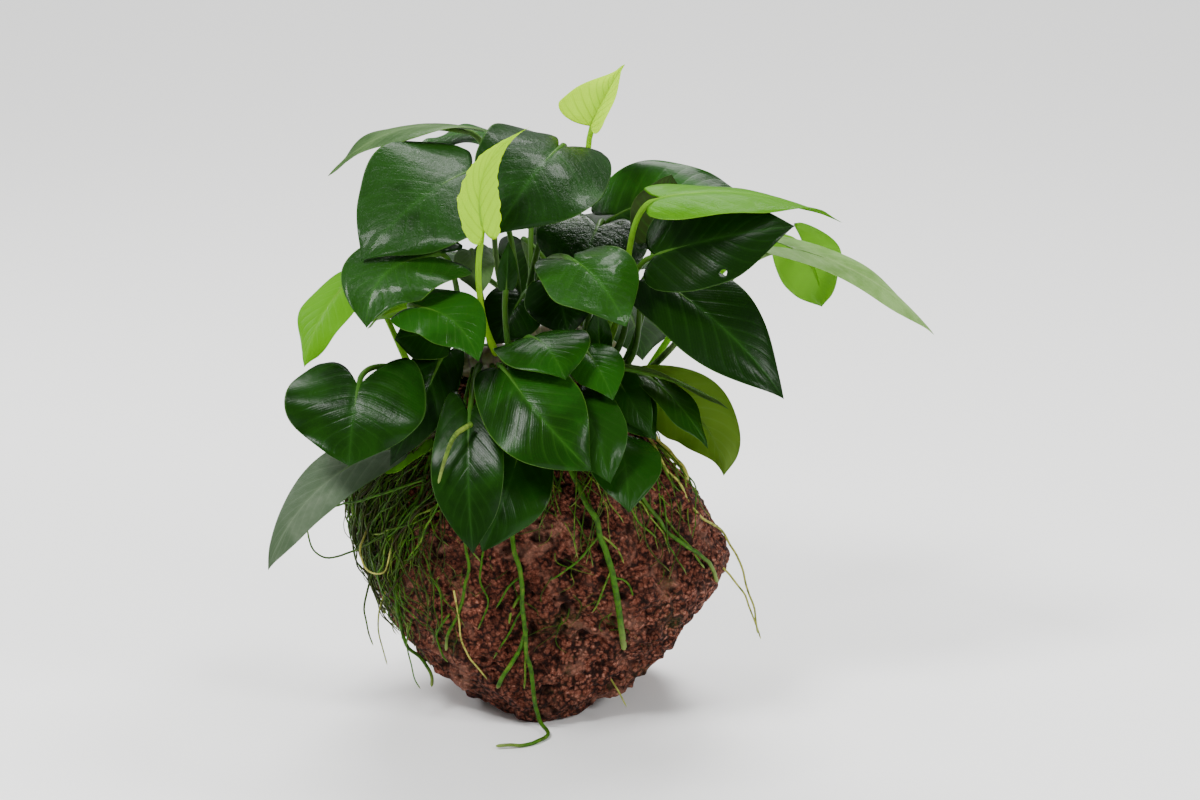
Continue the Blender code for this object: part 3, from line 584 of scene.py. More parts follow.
lookChanges = (               # name, the look it starts from, what differs
    ("mature", "old", dict(
        deep=(0.005, 0.03, 0.0013), top=(0.0105, 0.07, 0.0028), vein=(0.03, 0.13, 0.01),
        rim=(0.08, 0.2, 0.02), glow=0.12)),
    ("fresh", "old", dict(
        deep=(0.055, 0.2, 0.0015), top=(0.1, 0.33, 0.003), vein=(0.16, 0.42, 0.02),
        rim=(0.2, 0.46, 0.03), under=(0.08, 0.25, 0.008), stem=(0.14, 0.32, 0.015),
        rough=0.36, glow=0.22)),
    ("young", "old", dict(
        deep=(0.42, 0.76, 0), top=(0.58, 0.93, 0), vein=(0.17, 0.42, 0), veining=3,
        rim=(0.62, 0.9, 0.03), under=(0.4, 0.7, 0.006), stem=(0.22, 0.44, 0.02), rough=0.42,
        glow=0.3, glowColour=(0.64, 0.92, 0), coat=0, gloss=0.03, crinkle=1.2)),
    ("wetOld", "old", dict(
        deep=(0.005, 0.027, 0.002), top=(0.0105, 0.06, 0.0034), coat=0.1, gloss=0.11,
        rough=0.32, crinkle=1.7)),
    ("wetDeep", "old", dict(coat=0.08, gloss=0.11, rough=0.32, crinkle=1.4)),
    ("wetMature", "mature", dict(
        deep=(0.01, 0.055, 0.003), top=(0.0215, 0.118, 0.007), coat=0.15, gloss=0.12,
        rough=0.32, crinkle=1.8)),
    ("wetFresh", "fresh", dict(
        deep=(0.035, 0.145, 0.001), top=(0.068, 0.235, 0.002), coat=0.04, gloss=0.08,
        crinkle=1.3)),
    ("crinkled", "old", dict(coat=0.35, gloss=0.22, rough=0.22, crinkle=3.4)),
    # greyed: grey-green colours that stand in for glare off the blade, a painted reflection
    ("greyed", "old", dict(
        deep=(0.06, 0.095, 0.05), top=(0.13, 0.17, 0.11), vein=(0.16, 0.22, 0.13),
        under=(0.06, 0.11, 0.05), rough=0.45, crinkle=1.4)),
    # pearly: green with a pale painted sheen mixed into its colours
    ("pearly", "greyed", dict(
        deep=(0.022, 0.066, 0.01), top=(0.07, 0.14, 0.04), vein=(0.12, 0.2, 0.07),
        rim=(0.16, 0.28, 0.07))),
    # limeGrey: a light green leaf with a grey painted sheen in its colours
    ("limeGrey", "greyed", dict(
        deep=(0.095, 0.21, 0.035), top=(0.2, 0.34, 0.11), vein=(0.28, 0.42, 0.15),
        under=(0.16, 0.3, 0.05), rim=(0.3, 0.46, 0.12))),
    ("bronzed", "mature", dict(under=(0.026, 0.04, 0.01), top=(0.03, 0.075, 0.008))),
    # backlit and backlitDark: their brighter underside colours, and backlitDark's paler veins, are
    # painted light coming through the blade, besides the translucent share
    ("backlit", "fresh", dict(under=(0.16, 0.36, 0.03), glow=0.4, glowColour=(0.4, 0.75, 0.05))),
    ("backlitDark", "mature", dict(
        under=(0.105, 0.175, 0.022), vein=(0.15, 0.25, 0.05), glow=0.3,
        glowColour=(0.25, 0.5, 0.02))),
)
for newLook, oldLook, changes in lookChanges:
    leafLooks[newLook] = dict(leafLooks[oldLook], **changes)
leafSkin = dict(              # the same on every leaf
    coatRough=0.1, coatBend=1.35, lightBend=1.4, veinEdge=10, fineEdge=4, midEdge=22, rimEdge=40,
    fineVeins=5, bump=0.0007)


def leafShape(base, tip, face, width, own={}):
    # the blade's axes: forward from base to tip, normal square to it, side = forward x normal
    base, tip = np.array(base, float), np.array(tip, float)
    length = np.linalg.norm(tip - base)
    forward = (tip - base) / length
    normal = unit(np.array(face) - np.dot(face, forward) * forward)
    return dict(leafForm, base=base, length=length, width=width, forward=forward,
                normal=normal, side=np.cross(forward, normal), **own)


def bendOf(shape):
    # arch normal + sway side
    return shape["arch"] * shape["normal"] + shape["sway"] * shape["side"]


def midrib(shape, t):
    # base + length (t forward + 4t(1 - t) bend)
    curve = t * shape["forward"] + 4 * t * (1 - t) * bendOf(shape)
    return shape["base"] + shape["length"] * curve


def bladeFrame(shape, t):
    # across: the side made square to the midrib's slope, forward + 4(1 - 2t) bend; out: square
    # to both; the two turned by twist * t
    along = unit(shape["forward"] + 4 * (1 - 2 * t) * bendOf(shape))
    slope = np.sum(shape["side"] * along, axis=-1, keepdims=True)
    across = unit(shape["side"] - slope * along)
    out = np.cross(across, along)
    turn = np.radians(shape["twist"]) * t
    return (across * np.cos(turn) + out * np.sin(turn),
            out * np.cos(turn) - across * np.sin(turn))


def halfWidth(shape, t):
    # half the width: neck + (1 - neck) sqrt(1 - (1 - t/wide)^2), then (1 - fall^taper)^point
    wide, neck = shape["wide"], shape["neck"]
    near = neck + (1 - neck) * np.sqrt(1 - (1 - np.clip(t / wide, 0, 1)) ** 2)
    fall = np.clip((t - wide) / (1 - wide), 0, 1)
    far = (1 - fall ** shape["taper"]) ** shape["point"]
    return 0.5 * shape["width"] * np.where(t < wide, near, far)


def bladeSheet(shape, t, u, lift, draw):
    # midrib at t less the lobes' reach, out to the side by u half widths, which the margin's
    # tears vary; raised by fold |u|, (cup + droop) u^2, a wave u^2 sin(turn n t), soft
    # undulation, a groove exp(-(x / w)^2) on the midrib and cos quilting between the veins
    cut, away, width = leafCut, np.abs(u), shape["width"]

    def along(stretch, sideways, shift, salt):
        # soft noise along the blade, another one for each draw
        return softNoise(np.stack([t * stretch, sideways, 0 * t + shift], -1), salt)

    lobe = np.clip(1 - t / cut["lobeEnd"], 0, 1) ** 2 * (1 - (1 - away) ** 2)
    at = (t - shape["lobe"] * lobe)[..., None]
    across, out = bladeFrame(shape, at)
    stretch, reach = cut["margin"]
    half = halfWidth(shape, t) * (
        1 + reach * along(stretch, np.sign(u) * 2, draw, 1) * u**2
        + shape["ragged"] * along(cut["tears"], np.sign(u) * 2, draw, 3) * u**4)
    late = np.minimum(1, cut["lateFrom"] * (1 - t))
    count = cut["waves"][0] + cut["waves"][1] * np.sin(draw)
    phase = cut["waveTurn"] * count * t + draw + cut["halfShift"] * (u > 0)
    wave = cut["wave"] * width * u**2 * np.sin(phase)
    stretch, sideways, shift = cut["wanderSize"]
    soft = cut["wander"] * width * along(stretch, u * sideways, shift * draw, 2)
    groove = -cut["groove"] * np.exp(-(u * half / cut["grooveWidth"]) ** 2) * (1 - t)
    phase = (t - cut["veinLean"] * away ** cut["veinCurve"]) * cut["veins"]
    phase = phase + cut["veinOffset"] * np.sign(u)
    quilt = cut["quilt"] * np.cos(2 * np.pi * phase) * away**0.5 * (1 - u**2)
    quilt = quilt * np.minimum(1, half / cut["quiltWidth"])
    bend = half * (shape["fold"] * away + (shape["cup"] + cut["droop"]) * u**2)
    rise = bend + (wave + cut["wanderMiddle"] * soft * away) * late + groove + quilt + lift
    return midrib(shape, at) + across * (u * half)[..., None] + out * rise[..., None]


def openHole(t, u, shape, hole):
    # near the hole, squares of the grid become circles: each corner moves to the radius
    # max(|x|, |y|) cells, fully at the hole's edge and not at all a few cells further out
    count = leafCut["holeCells"]
    fadeEnd, fade = leafCut["holeFade"]
    row = np.abs(t[:, 0] - hole[0]).argmin()
    column = np.abs(u[0] - hole[1]).argmin()
    x, y = np.meshgrid(np.arange(len(t)) - row, np.arange(u.shape[1]) - column, indexing="ij")
    square = np.maximum(np.abs(x), np.abs(y))
    near = np.clip((fadeEnd - square) / fade, 0, 1) * (square > 0)
    scale = square * (hole[2] / count) / np.maximum(np.hypot(x, y), 1e-6)
    newT = t[row, 0] + x * scale / shape["length"]
    newU = u[0, column] + y * scale / halfWidth(shape, t)
    t, u = t * (1 - near) + newT * near, u * (1 - near) + newU * near
    return t, u, square < count, square == count


def openEdge(quads, count):
    # the directed edges of these cells that no other cell runs back along
    start, end = quads.ravel(), np.roll(quads, -1, axis=1).ravel()
    keep = ~np.isin(start * count + end, end * count + start)
    return np.stack([start[keep], end[keep]], axis=1)


def cutCorners(quads, corners):
    # the blade's four corner cells as two triangles each, both with the corner and the point
    # across from it, so that the upper and lower sheets share no face there
    found = np.isin(quads, corners)
    chosen = found.any(axis=1)
    turned = np.stack([np.roll(cell, -place)
                       for cell, place in zip(quads[chosen], found[chosen].argmax(axis=1))])
    return quads[~chosen], np.concatenate([turned[:, :3], turned[:, [0, 2, 3]]])


def bladeShell(shape, draw, hole=None):
    # an upper and a lower sheet that share their rim; the thickness falls off as
    # sqrt(1 - u^2) to the sides, and as sqrt(n t) and sqrt(n (1 - t)) to both ends
    cut = leafCut
    rows, columns = cut["rows"], cut["columns"]
    line = np.linspace(0, 1, rows)
    line = (cut["even"] * line + (1 - cut["even"]) * line**2 * (2 - line)) * cut["tipEnd"]
    ease = np.pi / 2 * cut["rimEase"]
    t = np.repeat(line[:, None], columns, axis=1)
    u = np.repeat((np.sin(np.linspace(-1, 1, columns) * ease) / np.sin(ease))[None], rows, 0)
    if hole:
        t, u, inside, edge = openHole(t, u, shape, hole)
    thick = cut["halfThick"] * np.sqrt(np.clip(1 - u**2, 0, 1))
    thick = thick * np.sqrt(np.clip(t * cut["baseEdge"], 0, 1))
    thick = thick * np.sqrt(np.clip((1 - t) * cut["tipEdge"], 0, 1))
    top = bladeSheet(shape, t, u, thick, draw).reshape(-1, 3)
    below = bladeSheet(shape, t, u, -thick, draw).reshape(-1, 3)
    number = np.arange(rows * columns).reshape(rows, columns)
    inner = np.zeros((rows, columns), bool)
    inner[1:-1, 1:-1] = True
    under = number.copy()
    under[inner] = rows * columns + np.arange(inner.sum())
    inner, under = inner.ravel(), under.ravel()
    quads = gridFaces(rows, columns)
    if hole:
        quads = quads[~inside.ravel()[quads].any(axis=1)]
    quads, triangles = cutCorners(quads, number[[0, 0, -1, -1], [0, -1, 0, -1]])
    faces = [quads, under[quads][:, ::-1]]
    if hole:
        rim = openEdge(quads, number.size)
        rim = rim[edge.ravel()[rim].all(axis=1)]
        faces.append(np.column_stack([rim[:, ::-1], under[rim]]))
    quads = np.concatenate(faces)
    triangles = np.concatenate([triangles, under[triangles][:, ::-1]])
    places = np.concatenate([top, below[inner]])
    uv = np.stack([(u + 1) / 2, t], -1).reshape(-1, 2)
    uv = np.concatenate([uv, uv[inner]])
    side = np.concatenate([np.where(inner, 1, cut["rimSide"]), np.zeros(inner.sum())])
    used, same = np.unique(np.concatenate([quads.ravel(), triangles.ravel()]),
                           return_inverse=True)
    same = same.reshape(-1)
    triangles = same[quads.size:].reshape(triangles.shape).tolist()
    shell = places[used], same[:quads.size].reshape(quads.shape), triangles
    return shell, uv[used], side[used]


def stalkPath(shape, foot, leaving):
    # a Bezier (1-k)^3 a + 3k(1-k)^2 b + 3k^2(1-k) c + k^3 d from the foot to under the blade's
    # base, then along under the midrib, where the radius falls as (1 - t / end)^power
    cut = leafCut
    arrival = unit(cut["arrive"][0] * shape["forward"] + cut["arrive"][1] * shape["normal"])
    end = shape["base"] - arrival * cut["stop"]
    reach = np.linalg.norm(end - foot)
    early, late = foot + leaving * reach * cut["leave"], end - arrival * reach * shape["hook"]
    k = np.linspace(0, 1, cut["stalkRings"])[:, None]
    bend = ((1 - k) ** 3 * foot + 3 * k * (1 - k) ** 2 * early
            + 3 * k**2 * (1 - k) * late + k**3 * end)
    t = np.linspace(cut["ribStart"], cut["ribEnd"], cut["ribRings"])[:, None]
    radius = cut["stalk"] * (1 - t / cut["ribEnd"]) ** cut["ribPower"] + cut["ribTip"]
    _, out = bladeFrame(shape, t)
    under = midrib(shape, t) - out * (cut["ribDepth"][0] + cut["ribDepth"][1] * radius)
    swelling = 1 + cut["swell"] * np.clip(1 - 3 * k[:-1, 0], 0, 1)
    return (np.concatenate([bend[:-1], under]),
            np.concatenate([cut["stalk"] * swelling, radius[:, 0]]))


def leafMaterial(name):
    # deep to top green by clouds and the leaf's own tone, then fine and side veins, which are
    # cos lines across the leaf, the midrib, the rim, the underside and the stalk over it;
    # light through the blade is a translucent share
    look, skin, cut = leafLooks[name], leafSkin, leafCut
    material, shader, start, spot = newMaterial(
        "leaf_" + name, Coat_Weight=look["coat"], Coat_Roughness=skin["coatRough"],
        Coat_IOR=skin["coatBend"], IOR=skin["lightBend"], Specular_IOR_Level=look["gloss"])
    place = start.make("ShaderNodeUVMap", {"uv_map": "leafMap"})
    x, t = (place.make("ShaderNodeSeparateXYZ", inputs={0: place}, output=k) for k in (0, 1))
    away = (x * 2 - 1).maths("ABSOLUTE")
    side = start.stored("side")
    phase = (t - (away ** cut["veinCurve"]) * cut["veinLean"]) * cut["veins"]
    phase = (phase + (x - 0.5).maths("SIGN") * cut["veinOffset"]) * (2 * np.pi)
    vein = ((1 - phase.maths("COSINE")) * 0.5) ** skin["veinEdge"] * (1 - away ** 3)
    fine = (phase * skin["fineVeins"] + spot.noise(160) * 3).maths("COSINE")
    fine = (fine * 0.5 + 0.5) ** skin["fineEdge"]
    mid = (1 - away) ** skin["midEdge"]
    cloud = spot.noise(55, 4, 0.6, 0.3)
    tone = cloud * 0.7 + spot.noise(22, 2) * 0.5 + start.stored("tone") * 0.25 - 0.1
    colour = tone.between(0.35, 0.65).tint(look["deep"], look["top"])
    colour = ((vein * 0.16 + fine * 0.05) * look["veining"]).tint(colour, look["vein"])
    colour = (mid * 0.55).tint(colour, look["vein"])
    colour = (away ** skin["rimEdge"]).between(0.25, 0.9, 0, 0.8).tint(colour, look["rim"])
    under = (vein * 0.4 + mid * 0.5 + cloud * 0.2).tint(look["under"], look["vein"])
    colour = side.between(0.15, 0.6).tint(under, colour)
    stem = spot.noise(90).between(0.4, 0.6, 0, 0.5).tint(look["stem"], look["vein"])
    colour = start.stored("stem").tint(colour, stem)
    crease = (spot.noise(430, 3, 0.6, 1) - 0.5).maths("ABSOLUTE") * -1.6
    crinkle = spot.noise(130, 3, 0.55, 1) * 0.5 + spot.noise(240, 3, 0.6, 1.5) * 0.3
    height = (crinkle + crease * 0.35) * look["crinkle"] - vein * 0.14 - fine * 0.04
    height = height + spot.noise(1500, 2) * 0.03
    feed(shader, Base_Color=colour, Normal=height.bump(0.55, skin["bump"]),
         Roughness=cloud * 0.12 + (look["rough"] - 0.04) + (1 - side) * 0.16)
    tree = start.tree
    glow = start.make("ShaderNodeBsdfTranslucent", inputs={"Color": (*look["glowColour"], 1)})
    both = start.make("ShaderNodeMixShader", inputs={
        0: look["glow"], 1: Wire(tree, shader.outputs[0]), 2: glow})
    tree.links.new(both.socket, tree.nodes["Material Output"].inputs["Surface"])
    return material


def buildLeaves():
    # each leaf: its blade and its stalk as two shells of one piece
    materials = {name: leafMaterial(name) for name in leafLooks}
    tones = np.random.default_rng(seed).uniform(-1, 1, len(leaves))
    for draw, (row, tone) in enumerate(zip(leaves, tones)):
        name, age, footPlace, base, tip, face, width, *own = row
        extra = leafOwn.get(name, {})
        shape = leafShape(base, tip, face, width, *own)
        shape["ragged"] = extra.get("ragged", 0)
        foot, leaving = growFoot(*footPlace, leafCut["footSunk"])
        blade, uv, side = bladeShell(shape, draw, extra.get("hole"))
        stalk = pipe(*stalkPath(shape, foot, leaving), leafCut["stalkSides"])
        count = len(stalk[0])
        makePiece("leaf_" + name + "_blade", [blade, stalk], materials[extra.get("look", age)],
                  "leaf_" + name, "leaf_" + age, uv=np.concatenate([uv, np.full((count, 2), 0.5)]),
                  side=np.concatenate([side, np.zeros(count)]),
                  stem=np.concatenate([np.zeros(len(side)), np.ones(count)]),
                  tone=np.full(len(side) + count, tone))
    print("leaves", len(leaves))


roots = dict(
    sides=10, spacing=1.2, footRun=2.5, footSunk=-0.6, wander=0.8, swaySize=7, swayStart=6,
    tipRound=(1.2, 0.05), overFloor=0.25, tipShare=8, paleFrom=0.8,
    thinSides=dict(side_roots=8, loose_roots=8, fine_roots=6), thinWander=0.8, thinSpacing=2.2,
    drawStep=0.37, fineEnd=0.5, strandPoints=9, driftPower=1.3, slowSine=(4, 3.1),
    liftPeak=1.15, liftLeast=0.4)
rootLook = dict(
    soil=(0.022, 0.013, 0.003), olive=(0.034, 0.058, 0.003), green=(0.036, 0.125, 0.004),
    pale=(0.38, 0.36, 0.07), dark=(0.01, 0.026, 0.003), tip=(0.3, 0.36, 0.1), rough=0.35,
    specular=0.12, bump=0.0004)

# name, tone (0 brown, 0.5 green, 1 cream), radii, foot, route over the stone, points past it
mainRoots = (
    ("root_front_centre", 0.55, 1.1, 0.7, ("main", 0.36, -110),
     ((-26, 58, 2.2), (-17, 38, 2.6), (-12, 16, 2), (-9, 4, 2), (-8, -9, 2), (-7, -27, 2),
      (-5, -43, 2.2)),
     ((-2, -42, 4), (1, -52, 1.4), (-4, -60, 1.2), (-12, -64, 1.1), (-19, -65, 1.1))),
    ("root_front_main", 0.52, 1, 1.3, ("main", 0.62, -110),
     ((15, 58, 2.2), (10, 44, 2), (17, 27, 2), (22, 15, 2), (26, -1, 2), (30, -16, 2),
      (35, -31, 2.2)), ()),
    ("root_front_right", 0.5, 0.9, 0.8, ("main", 0.82, -140),
     ((42, 54, 2.4), (36, 40, 2.2), (38, 28, 2), (47, 16, 2), (54, 8, 2), (62, 2, 2),
      (72, -9, 2)), ()),
    ("root_pale_right", 0.95, 1, 1, ("main", 0.97, -120),
     ((72, 46, 2.4), (70, 37, 2), (67, 32, 2), (64, 27, 2)), ()),
    ("root_left_front", 0.5, 0.7, 0.6, ("main", 0.28, -110),
     ((-42, 52, 2.2), (-34, 34, 2), (-31, 16, 2), (-29, 4, 2), (-31, -9, 2), (-36, -20, 2),
      (-39, -27, 2)), ()),
    ("root_left_outer", 0.45, 1, 0.7, ("main", 0.02, -120),
     ((-73, 38, 2.4), (-72, 28, 2), (-76, 18, 2.2), (-84, 4, 2.4), (-84, -12, 3),
      (-78, -24, 3)), ()),
    ("root_left_hanging", 0.5, 0.9, 0.7, ("main", 0.14, -110),
     ((-54, 46, 2.3), (-50, 30, 2), (-52, 16, 2), (-54, 2, 2), (-58, -14, 2.4), (-60, -28, 3)),
     ((-47, -24, 18), (-46, -27, 12))),
    ("root_trailing", 0.85, 0.6, 0.4, ("main", 0.9, -120),
     ((55, 46, 2.4), (54, 36, 2.2), (58, 26, 2), (66, 14, 2), (78, 5, 2.2)),
     ((78, -10, 58), (82, -12, 46), (85, -13, 38), (86, -14, 30))),
    ("root_back_left", 0.48, 1.1, 0.8, ("back", 0.3, 110),
     ((-125, 66, 2.4), (-158, 52, 2.8), (-162, 36, 2), (-152, 18, 2), (-150, 2, 2), (-156, -16, 2),
      (-158, -32, 2)), ()),
    ("root_back_right", 0.5, 1.1, 0.8, ("back", 0.8, 120),
     ((140, 58, 2.3), (150, 44, 2.2), (152, 28, 2), (146, 12, 2), (148, -4, 2), (142, -20, 2),
      (144, -34, 2)), ()),
)
# side roots that can be told apart: tone, radii, and a route over the stone
sideRoots = (
    (0.55, 0.5, 0.35, ((-10, 1, 1.6), (-14, -4, 1.2), (-19, -12, 1))),
    (0.6, 0.6, 0.45, ((-9, -6, 1.6), (-12, -12, 1.3), (-14, -18, 1.1))),
    (0.55, 0.45, 0.35, ((-8, -12, 1.6), (-13, -20, 1.2), (-20, -31, 1))),
    (0.55, 0.8, 0.9, ((-7, -20, 1.8), (-9, -27, 1.4), (-17, -36, 1.4), (-21, -42, 1.6))),
    (0.6, 0.5, 0.4, ((-7, -24, 1.8), (-8, -33, 1.4), (-9, -42, 1.4))),
    (0.55, 0.5, 0.35, ((21, 18, 1.8), (15, 11, 1.3), (8, 4, 1), (2, 0, 0.9))),
    (0.6, 0.4, 0.3, ((25, 4, 1.8), (22, -6, 1.2), (19, -14, 1))),
    (0.55, 0.45, 0.35, ((26, 1, 1.8), (33, -4, 1.2), (36, -13, 1))),
    (0.65, 0.5, 0.35, ((20, 18, 1.8), (27, 12, 1.2), (30, 6, 1))),
    (0.6, 0.6, 0.4, ((36, 34, 1.8), (46, 22, 1.3), (57, 7, 1.1), (64, -3, 1.2))),
    (0.55, 0.5, 0.35, ((30, 32, 1.8), (36, 20, 1.3), (43, 13, 1.1))),
    (0.95, 0.4, 0.3, ((-34, -5, 2), (-32, -17, 2.2), (-30, -28, 2.2), (-24, -38, 2))),
    (0.55, 0.5, 0.4, ((-36, -14, 1.4), (-42, -22, 1.2), (-42, -34, 1.2))),
    (0.5, 0.45, 0.3, ((-24, 12, 1.2), (-25, 0, 1), (-22, -10, 1), (-26, -20, 1))),
)
# loose ends that leave the stone: tone, radii and points
looseRoots = (
    (0.85, 0.5, 0.3, ((64, -19, 66), (74, -16, 55), (81, -14, 45), (85, -13, 34), (87, -14, 27))),
    (0.95, 0.42, 0.3, ((-70, -30, 79), (-72, -39, 72), (-68, -45, 66), (-62, -46, 67),
     (-60, -44, 76))),
    (0.5, 0.55, 0.3, ((-46, -43, 104), (-62, -43, 98), (-78, -36, 92), (-90, -28, 88),
     (-96, -22, 87))),
    (0.45, 0.5, 0.35, ((-58, -38, 82), (-72, -32, 72), (-84, -26, 66), (-92, -22, 67),
     (-95, -20, 77))),
    (0.4, 0.5, 0.3, ((-66, -28, 66), (-71, -27, 52), (-72, -26, 40), (-69, -26, 29))),
    (0.75, 0.4, 0.25, ((-62, -30, 56), (-66, -29, 44), (-66, -28, 33), (-63, -29, 22))),
    (0.55, 0.4, 0.25, ((-52, -36, 46), (-55, -35, 34), (-53, -35, 22), (-50, -36, 14))),
    (0.8, 0.4, 0.3, ((21, -36, 33), (23, -36, 27), (25, -34, 20), (30, -36, 13), (33, -40, 8))),
)
# bundles of fine roots: how many, their sway, then from and to: the degrees round and up that
# they start at, how far they run down and drift, lift, radius and tone
bundleKeys = ("turn", "rise", "run", "drift", "lift", "radius", "tone")
rootBundles = (
    (230, 2.2, (-88, -40), (22, 54), (16, 62), (-34, 14), (0.8, 7.5), (0.18, 0.58), (0.08, 0.62)),
    (90, 2.6, (-96, -44), (-2, 30), (10, 34), (-26, 18), (0.8, 5), (0.16, 0.42), (0.05, 0.62)),
    (26, 1.2, (2, 26), (40, 50), (12, 38), (-10, 16), (0.8, 2), (0.2, 0.46), (0.3, 0.68)),
    (22, 1.2, (34, 70), (26, 46), (12, 36), (-6, 18), (0.8, 2), (0.2, 0.46), (0.3, 0.66)),
    (44, 1.6, (110, 250), (24, 52), (14, 52), (-16, 16), (0.8, 2.6), (0.2, 0.5), (0.1, 0.6)),
    (34, 1.4, (-40, 46), (-20, 30), (5, 15), (-14, 14), (0.4, 1), (0.12, 0.24), (0.25, 0.72)),
)
shoot = dict(
    route=((-27, -66, 133), (-33, -72, 130), (-37, -76, 121), (-39, -78, 113)),
    radii=(1.15, 0.5), sides=12, draw=3, spacing=0.8, wander=0.2, tone=0.62, tipPower=3)


def rootMaterial():
    # a ramp from brown over green to cream by the root's own tone and a noise, with dark dots
    # and a paler tip
    look = rootLook
    material, shader, start, spot = newMaterial("rootSkin", Specular_IOR_Level=look["specular"])
    mottle = spot.noise(260, 4, 0.6, 0.5)
    colour = (start.stored("tone") + mottle * 0.35 - 0.175).ramp(
        (0.12, look["soil"]), (0.36, look["olive"]), (0.55, look["green"]), (0.95, look["pale"]))
    colour = spot.noise(420).between(0.45, 0.62, 0, 0.6).tint(colour, look["dark"])
    colour = (start.stored("tip") * 0.5).tint(colour, look["tip"])
    height = mottle * 0.7 + spot.noise(1400, 2) * 0.3
    feed(shader, Base_Color=colour, Roughness=mottle * 0.3 + look["rough"],
         Normal=height.bump(0.5, look["bump"]))
    return material


def rootShell(points, first, last, sides, draw, spacing, wander):
    # a tube of radius (first + (last - first) share) sqrt(left / round), swayed by soft noise
    # and kept above the floor
    path = smoothPath(points, spacing)
    share = np.linspace(0, 1, len(path))
    sway = wander * softShift(path / roots["swaySize"] + draw)
    path = path + sway * np.minimum(1, roots["swayStart"] * share)[:, None]
    path[:, 2] = np.maximum(path[:, 2], last + roots["overFloor"])
    left = np.linalg.norm(path - path[-1], axis=1)
    tipLength, tipLeast = roots["tipRound"]
    radii = (first + (last - first) * share) * np.sqrt(np.clip(left / tipLength, tipLeast, 1))
    tip = np.clip((share - 1) * roots["tipShare"] + 1, 0, 1)
    return pipe(path, radii, sides), np.repeat(tip, sides), np.repeat(share, sides)


def buildMainRoots(material):
    # each main root: from its foot on the rhizome over the stone, then to its points past it
    for draw, row in enumerate(mainRoots):
        name, tone, first, last, footPlace, route, beyond = row
        foot, leaving = growFoot(*footPlace, roots["footSunk"])
        over = stonePlace(*np.array(route, float).T)
        points = [foot, foot + leaving * roots["footRun"], *over, *np.array(beyond, float)]
        shell, tip, _ = rootShell(points, first, last, roots["sides"], draw,
                                  roots["spacing"], roots["wander"])
        slot = "root_pale" if tone > roots["paleFrom"] else "root_green"
        makePiece(name + "_skin", [shell], material, name, slot,
                  tone=np.full(len(tip), tone), tip=tip)
    print("main roots", len(mainRoots))


def bundleStrand(sway, bands, pick, draw):
    # down the stone from a start in the band: turn + drift share^p + a sin(b share + draw),
    # rise - run share, and a lift that swells and falls as a half sine
    value = {key: low + (high - low) * pick.random() for key, (low, high) in bands.items()}
    share = np.linspace(0, 1, roots["strandPoints"])
    slow, beat = roots["slowSine"]
    turn = value["turn"] + value["drift"] * share ** roots["driftPower"]
    turn = turn + slow * np.sin(beat * share + draw)
    least = bands["lift"][0]
    swell = np.sin(np.pi * np.clip(share * roots["liftPeak"], 0, 1))
    lift = least + (value["lift"] - least) * swell + roots["liftLeast"]
    points = stonePlace(turn, value["rise"] - value["run"] * share, lift)
    return points, value["radius"], value["radius"] * roots["fineEnd"], value["tone"], sway


def buildFineRoots(material):
    # three joined meshes: side roots on the stone, loose ends off it, and the bundles' strands
    pick = np.random.default_rng(seed)
    sides, wander = roots["thinSides"], roots["thinWander"]
    groups = {"side_roots": [], "loose_roots": [], "fine_roots": []}
    for tone, first, last, route in sideRoots:
        over = stonePlace(*np.array(route, float).T)
        groups["side_roots"].append((over, first, last, tone, wander))
    for tone, first, last, points in looseRoots:
        groups["loose_roots"].append((np.array(points, float), first, last, tone, wander))
    for count, sway, *bands in rootBundles:
        bands = dict(zip(bundleKeys, bands))
        groups["fine_roots"] += [bundleStrand(sway, bands, pick, draw) for draw in range(count)]
    for name, strands in groups.items():
        shells, tones, tips = [], [], []
        for draw, (points, first, last, tone, wander) in enumerate(strands):
            shell, tip, _ = rootShell(points, first, last, sides[name],
                                      draw * roots["drawStep"], roots["thinSpacing"], wander)
            shells.append(shell)
            tones.append(np.full(len(tip), tone))
            tips.append(tip)
        makePiece(name, shells, material, None, "root_green",
                  tone=np.concatenate(tones), tip=np.concatenate(tips))
    print("fine roots", sum(len(strands) for strands in groups.values()))


def buildShoot(material):
    # a short tapering tube whose colour pales as share^power towards its tip
    shell, _, share = rootShell(shoot["route"], *shoot["radii"], shoot["sides"], shoot["draw"],
                                shoot["spacing"], shoot["wander"])
    makePiece("shoot_front_skin", [shell], material, "shoot_front", "leaf_fresh",
              tone=np.full(len(share), shoot["tone"]), tip=share ** shoot["tipPower"])
    print("shoot")


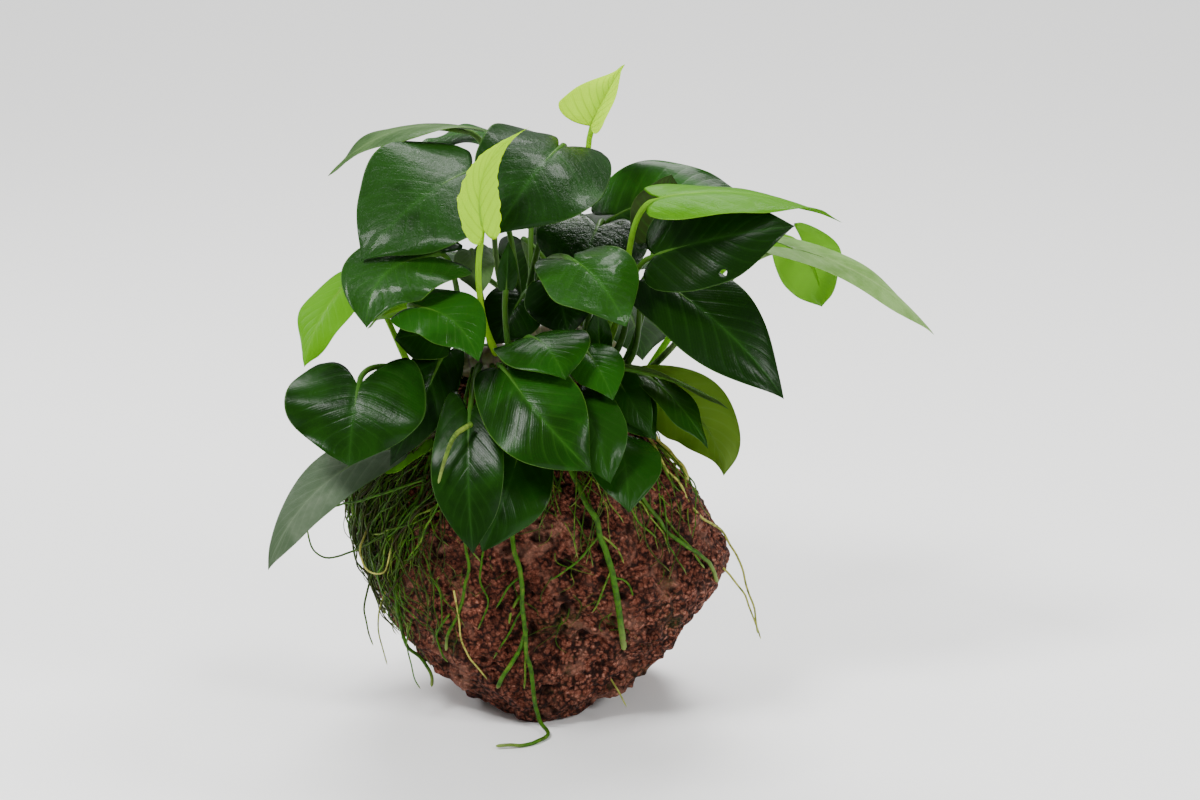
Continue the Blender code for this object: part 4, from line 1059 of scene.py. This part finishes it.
room = dict(
    floor=9, paper=(0.95, 0.95, 0.94), fleck=(0.7, 0.7, 0.69), flecks=(3, 2), fleckShare=0.04,
    paperRough=0.7, sky=0.36, lens=100, aim=(0.022, 0, 0.1236), eyeDistance=1.333, lookDown=16,
    lamps=(                   # place, size, watts
        ((-0.5, -0.55, 1.1), 0.28, 16), ((0.85, -0.6, 0.65), 0.24, 7.5),
        ((0.45, 0.35, 1.2), 0.28, 8.5), ((-0.8, 0.4, 0.55), 0.35, 3.5),
        ((0, 2.8, 3.6), 2, 190)))


def buildRoom():
    # a pale floor, square lamps turned to the aim, an even sky, and a camera at
    # aim + distance (0, -cos down, sin down)
    scene = bpy.context.scene
    aim = np.array(room["aim"])
    bpy.ops.mesh.primitive_plane_add(size=room["floor"])
    floor = bpy.context.object
    floor.name = "floor"
    material, shader, _, spot = newMaterial("paper", Roughness=room["paperRough"])
    flecks = spot.noise(*room["flecks"]) * room["fleckShare"]
    feed(shader, Base_Color=flecks.tint(room["paper"], room["fleck"]))
    floor.data.materials.append(material)
    for count, (place, size, watts) in enumerate(room["lamps"]):
        lamp = bpy.data.lights.new("lamp%d" % count, "AREA")
        lamp.size, lamp.energy = size, watts
        holder = bpy.data.objects.new(lamp.name, lamp)
        holder.location = place
        look = mathutils.Vector(aim - place)
        holder.rotation_euler = look.to_track_quat("-Z", "Y").to_euler()
        scene.collection.objects.link(holder)
    scene.world = bpy.data.worlds.new("studio")
    scene.world.use_nodes = True
    sky = scene.world.node_tree.nodes["Background"]
    sky.inputs["Color"].default_value = (1, 1, 1, 1)
    sky.inputs["Strength"].default_value = room["sky"]
    camera = bpy.data.cameras.new("camera")
    camera.lens = room["lens"]
    eye = bpy.data.objects.new("camera", camera)
    down = np.radians(room["lookDown"])
    eye.location = aim + room["eyeDistance"] * np.array([0, -np.cos(down), np.sin(down)])
    eye.rotation_euler = (np.pi / 2 - down, 0, 0)
    scene.collection.objects.link(eye)
    scene.camera = eye
    print("room")


buildRoom()
buildStone()
buildRhizomes()
buildLeaves()
rootSkin = rootMaterial()
buildMainRoots(rootSkin)
buildFineRoots(rootSkin)
buildShoot(rootSkin)
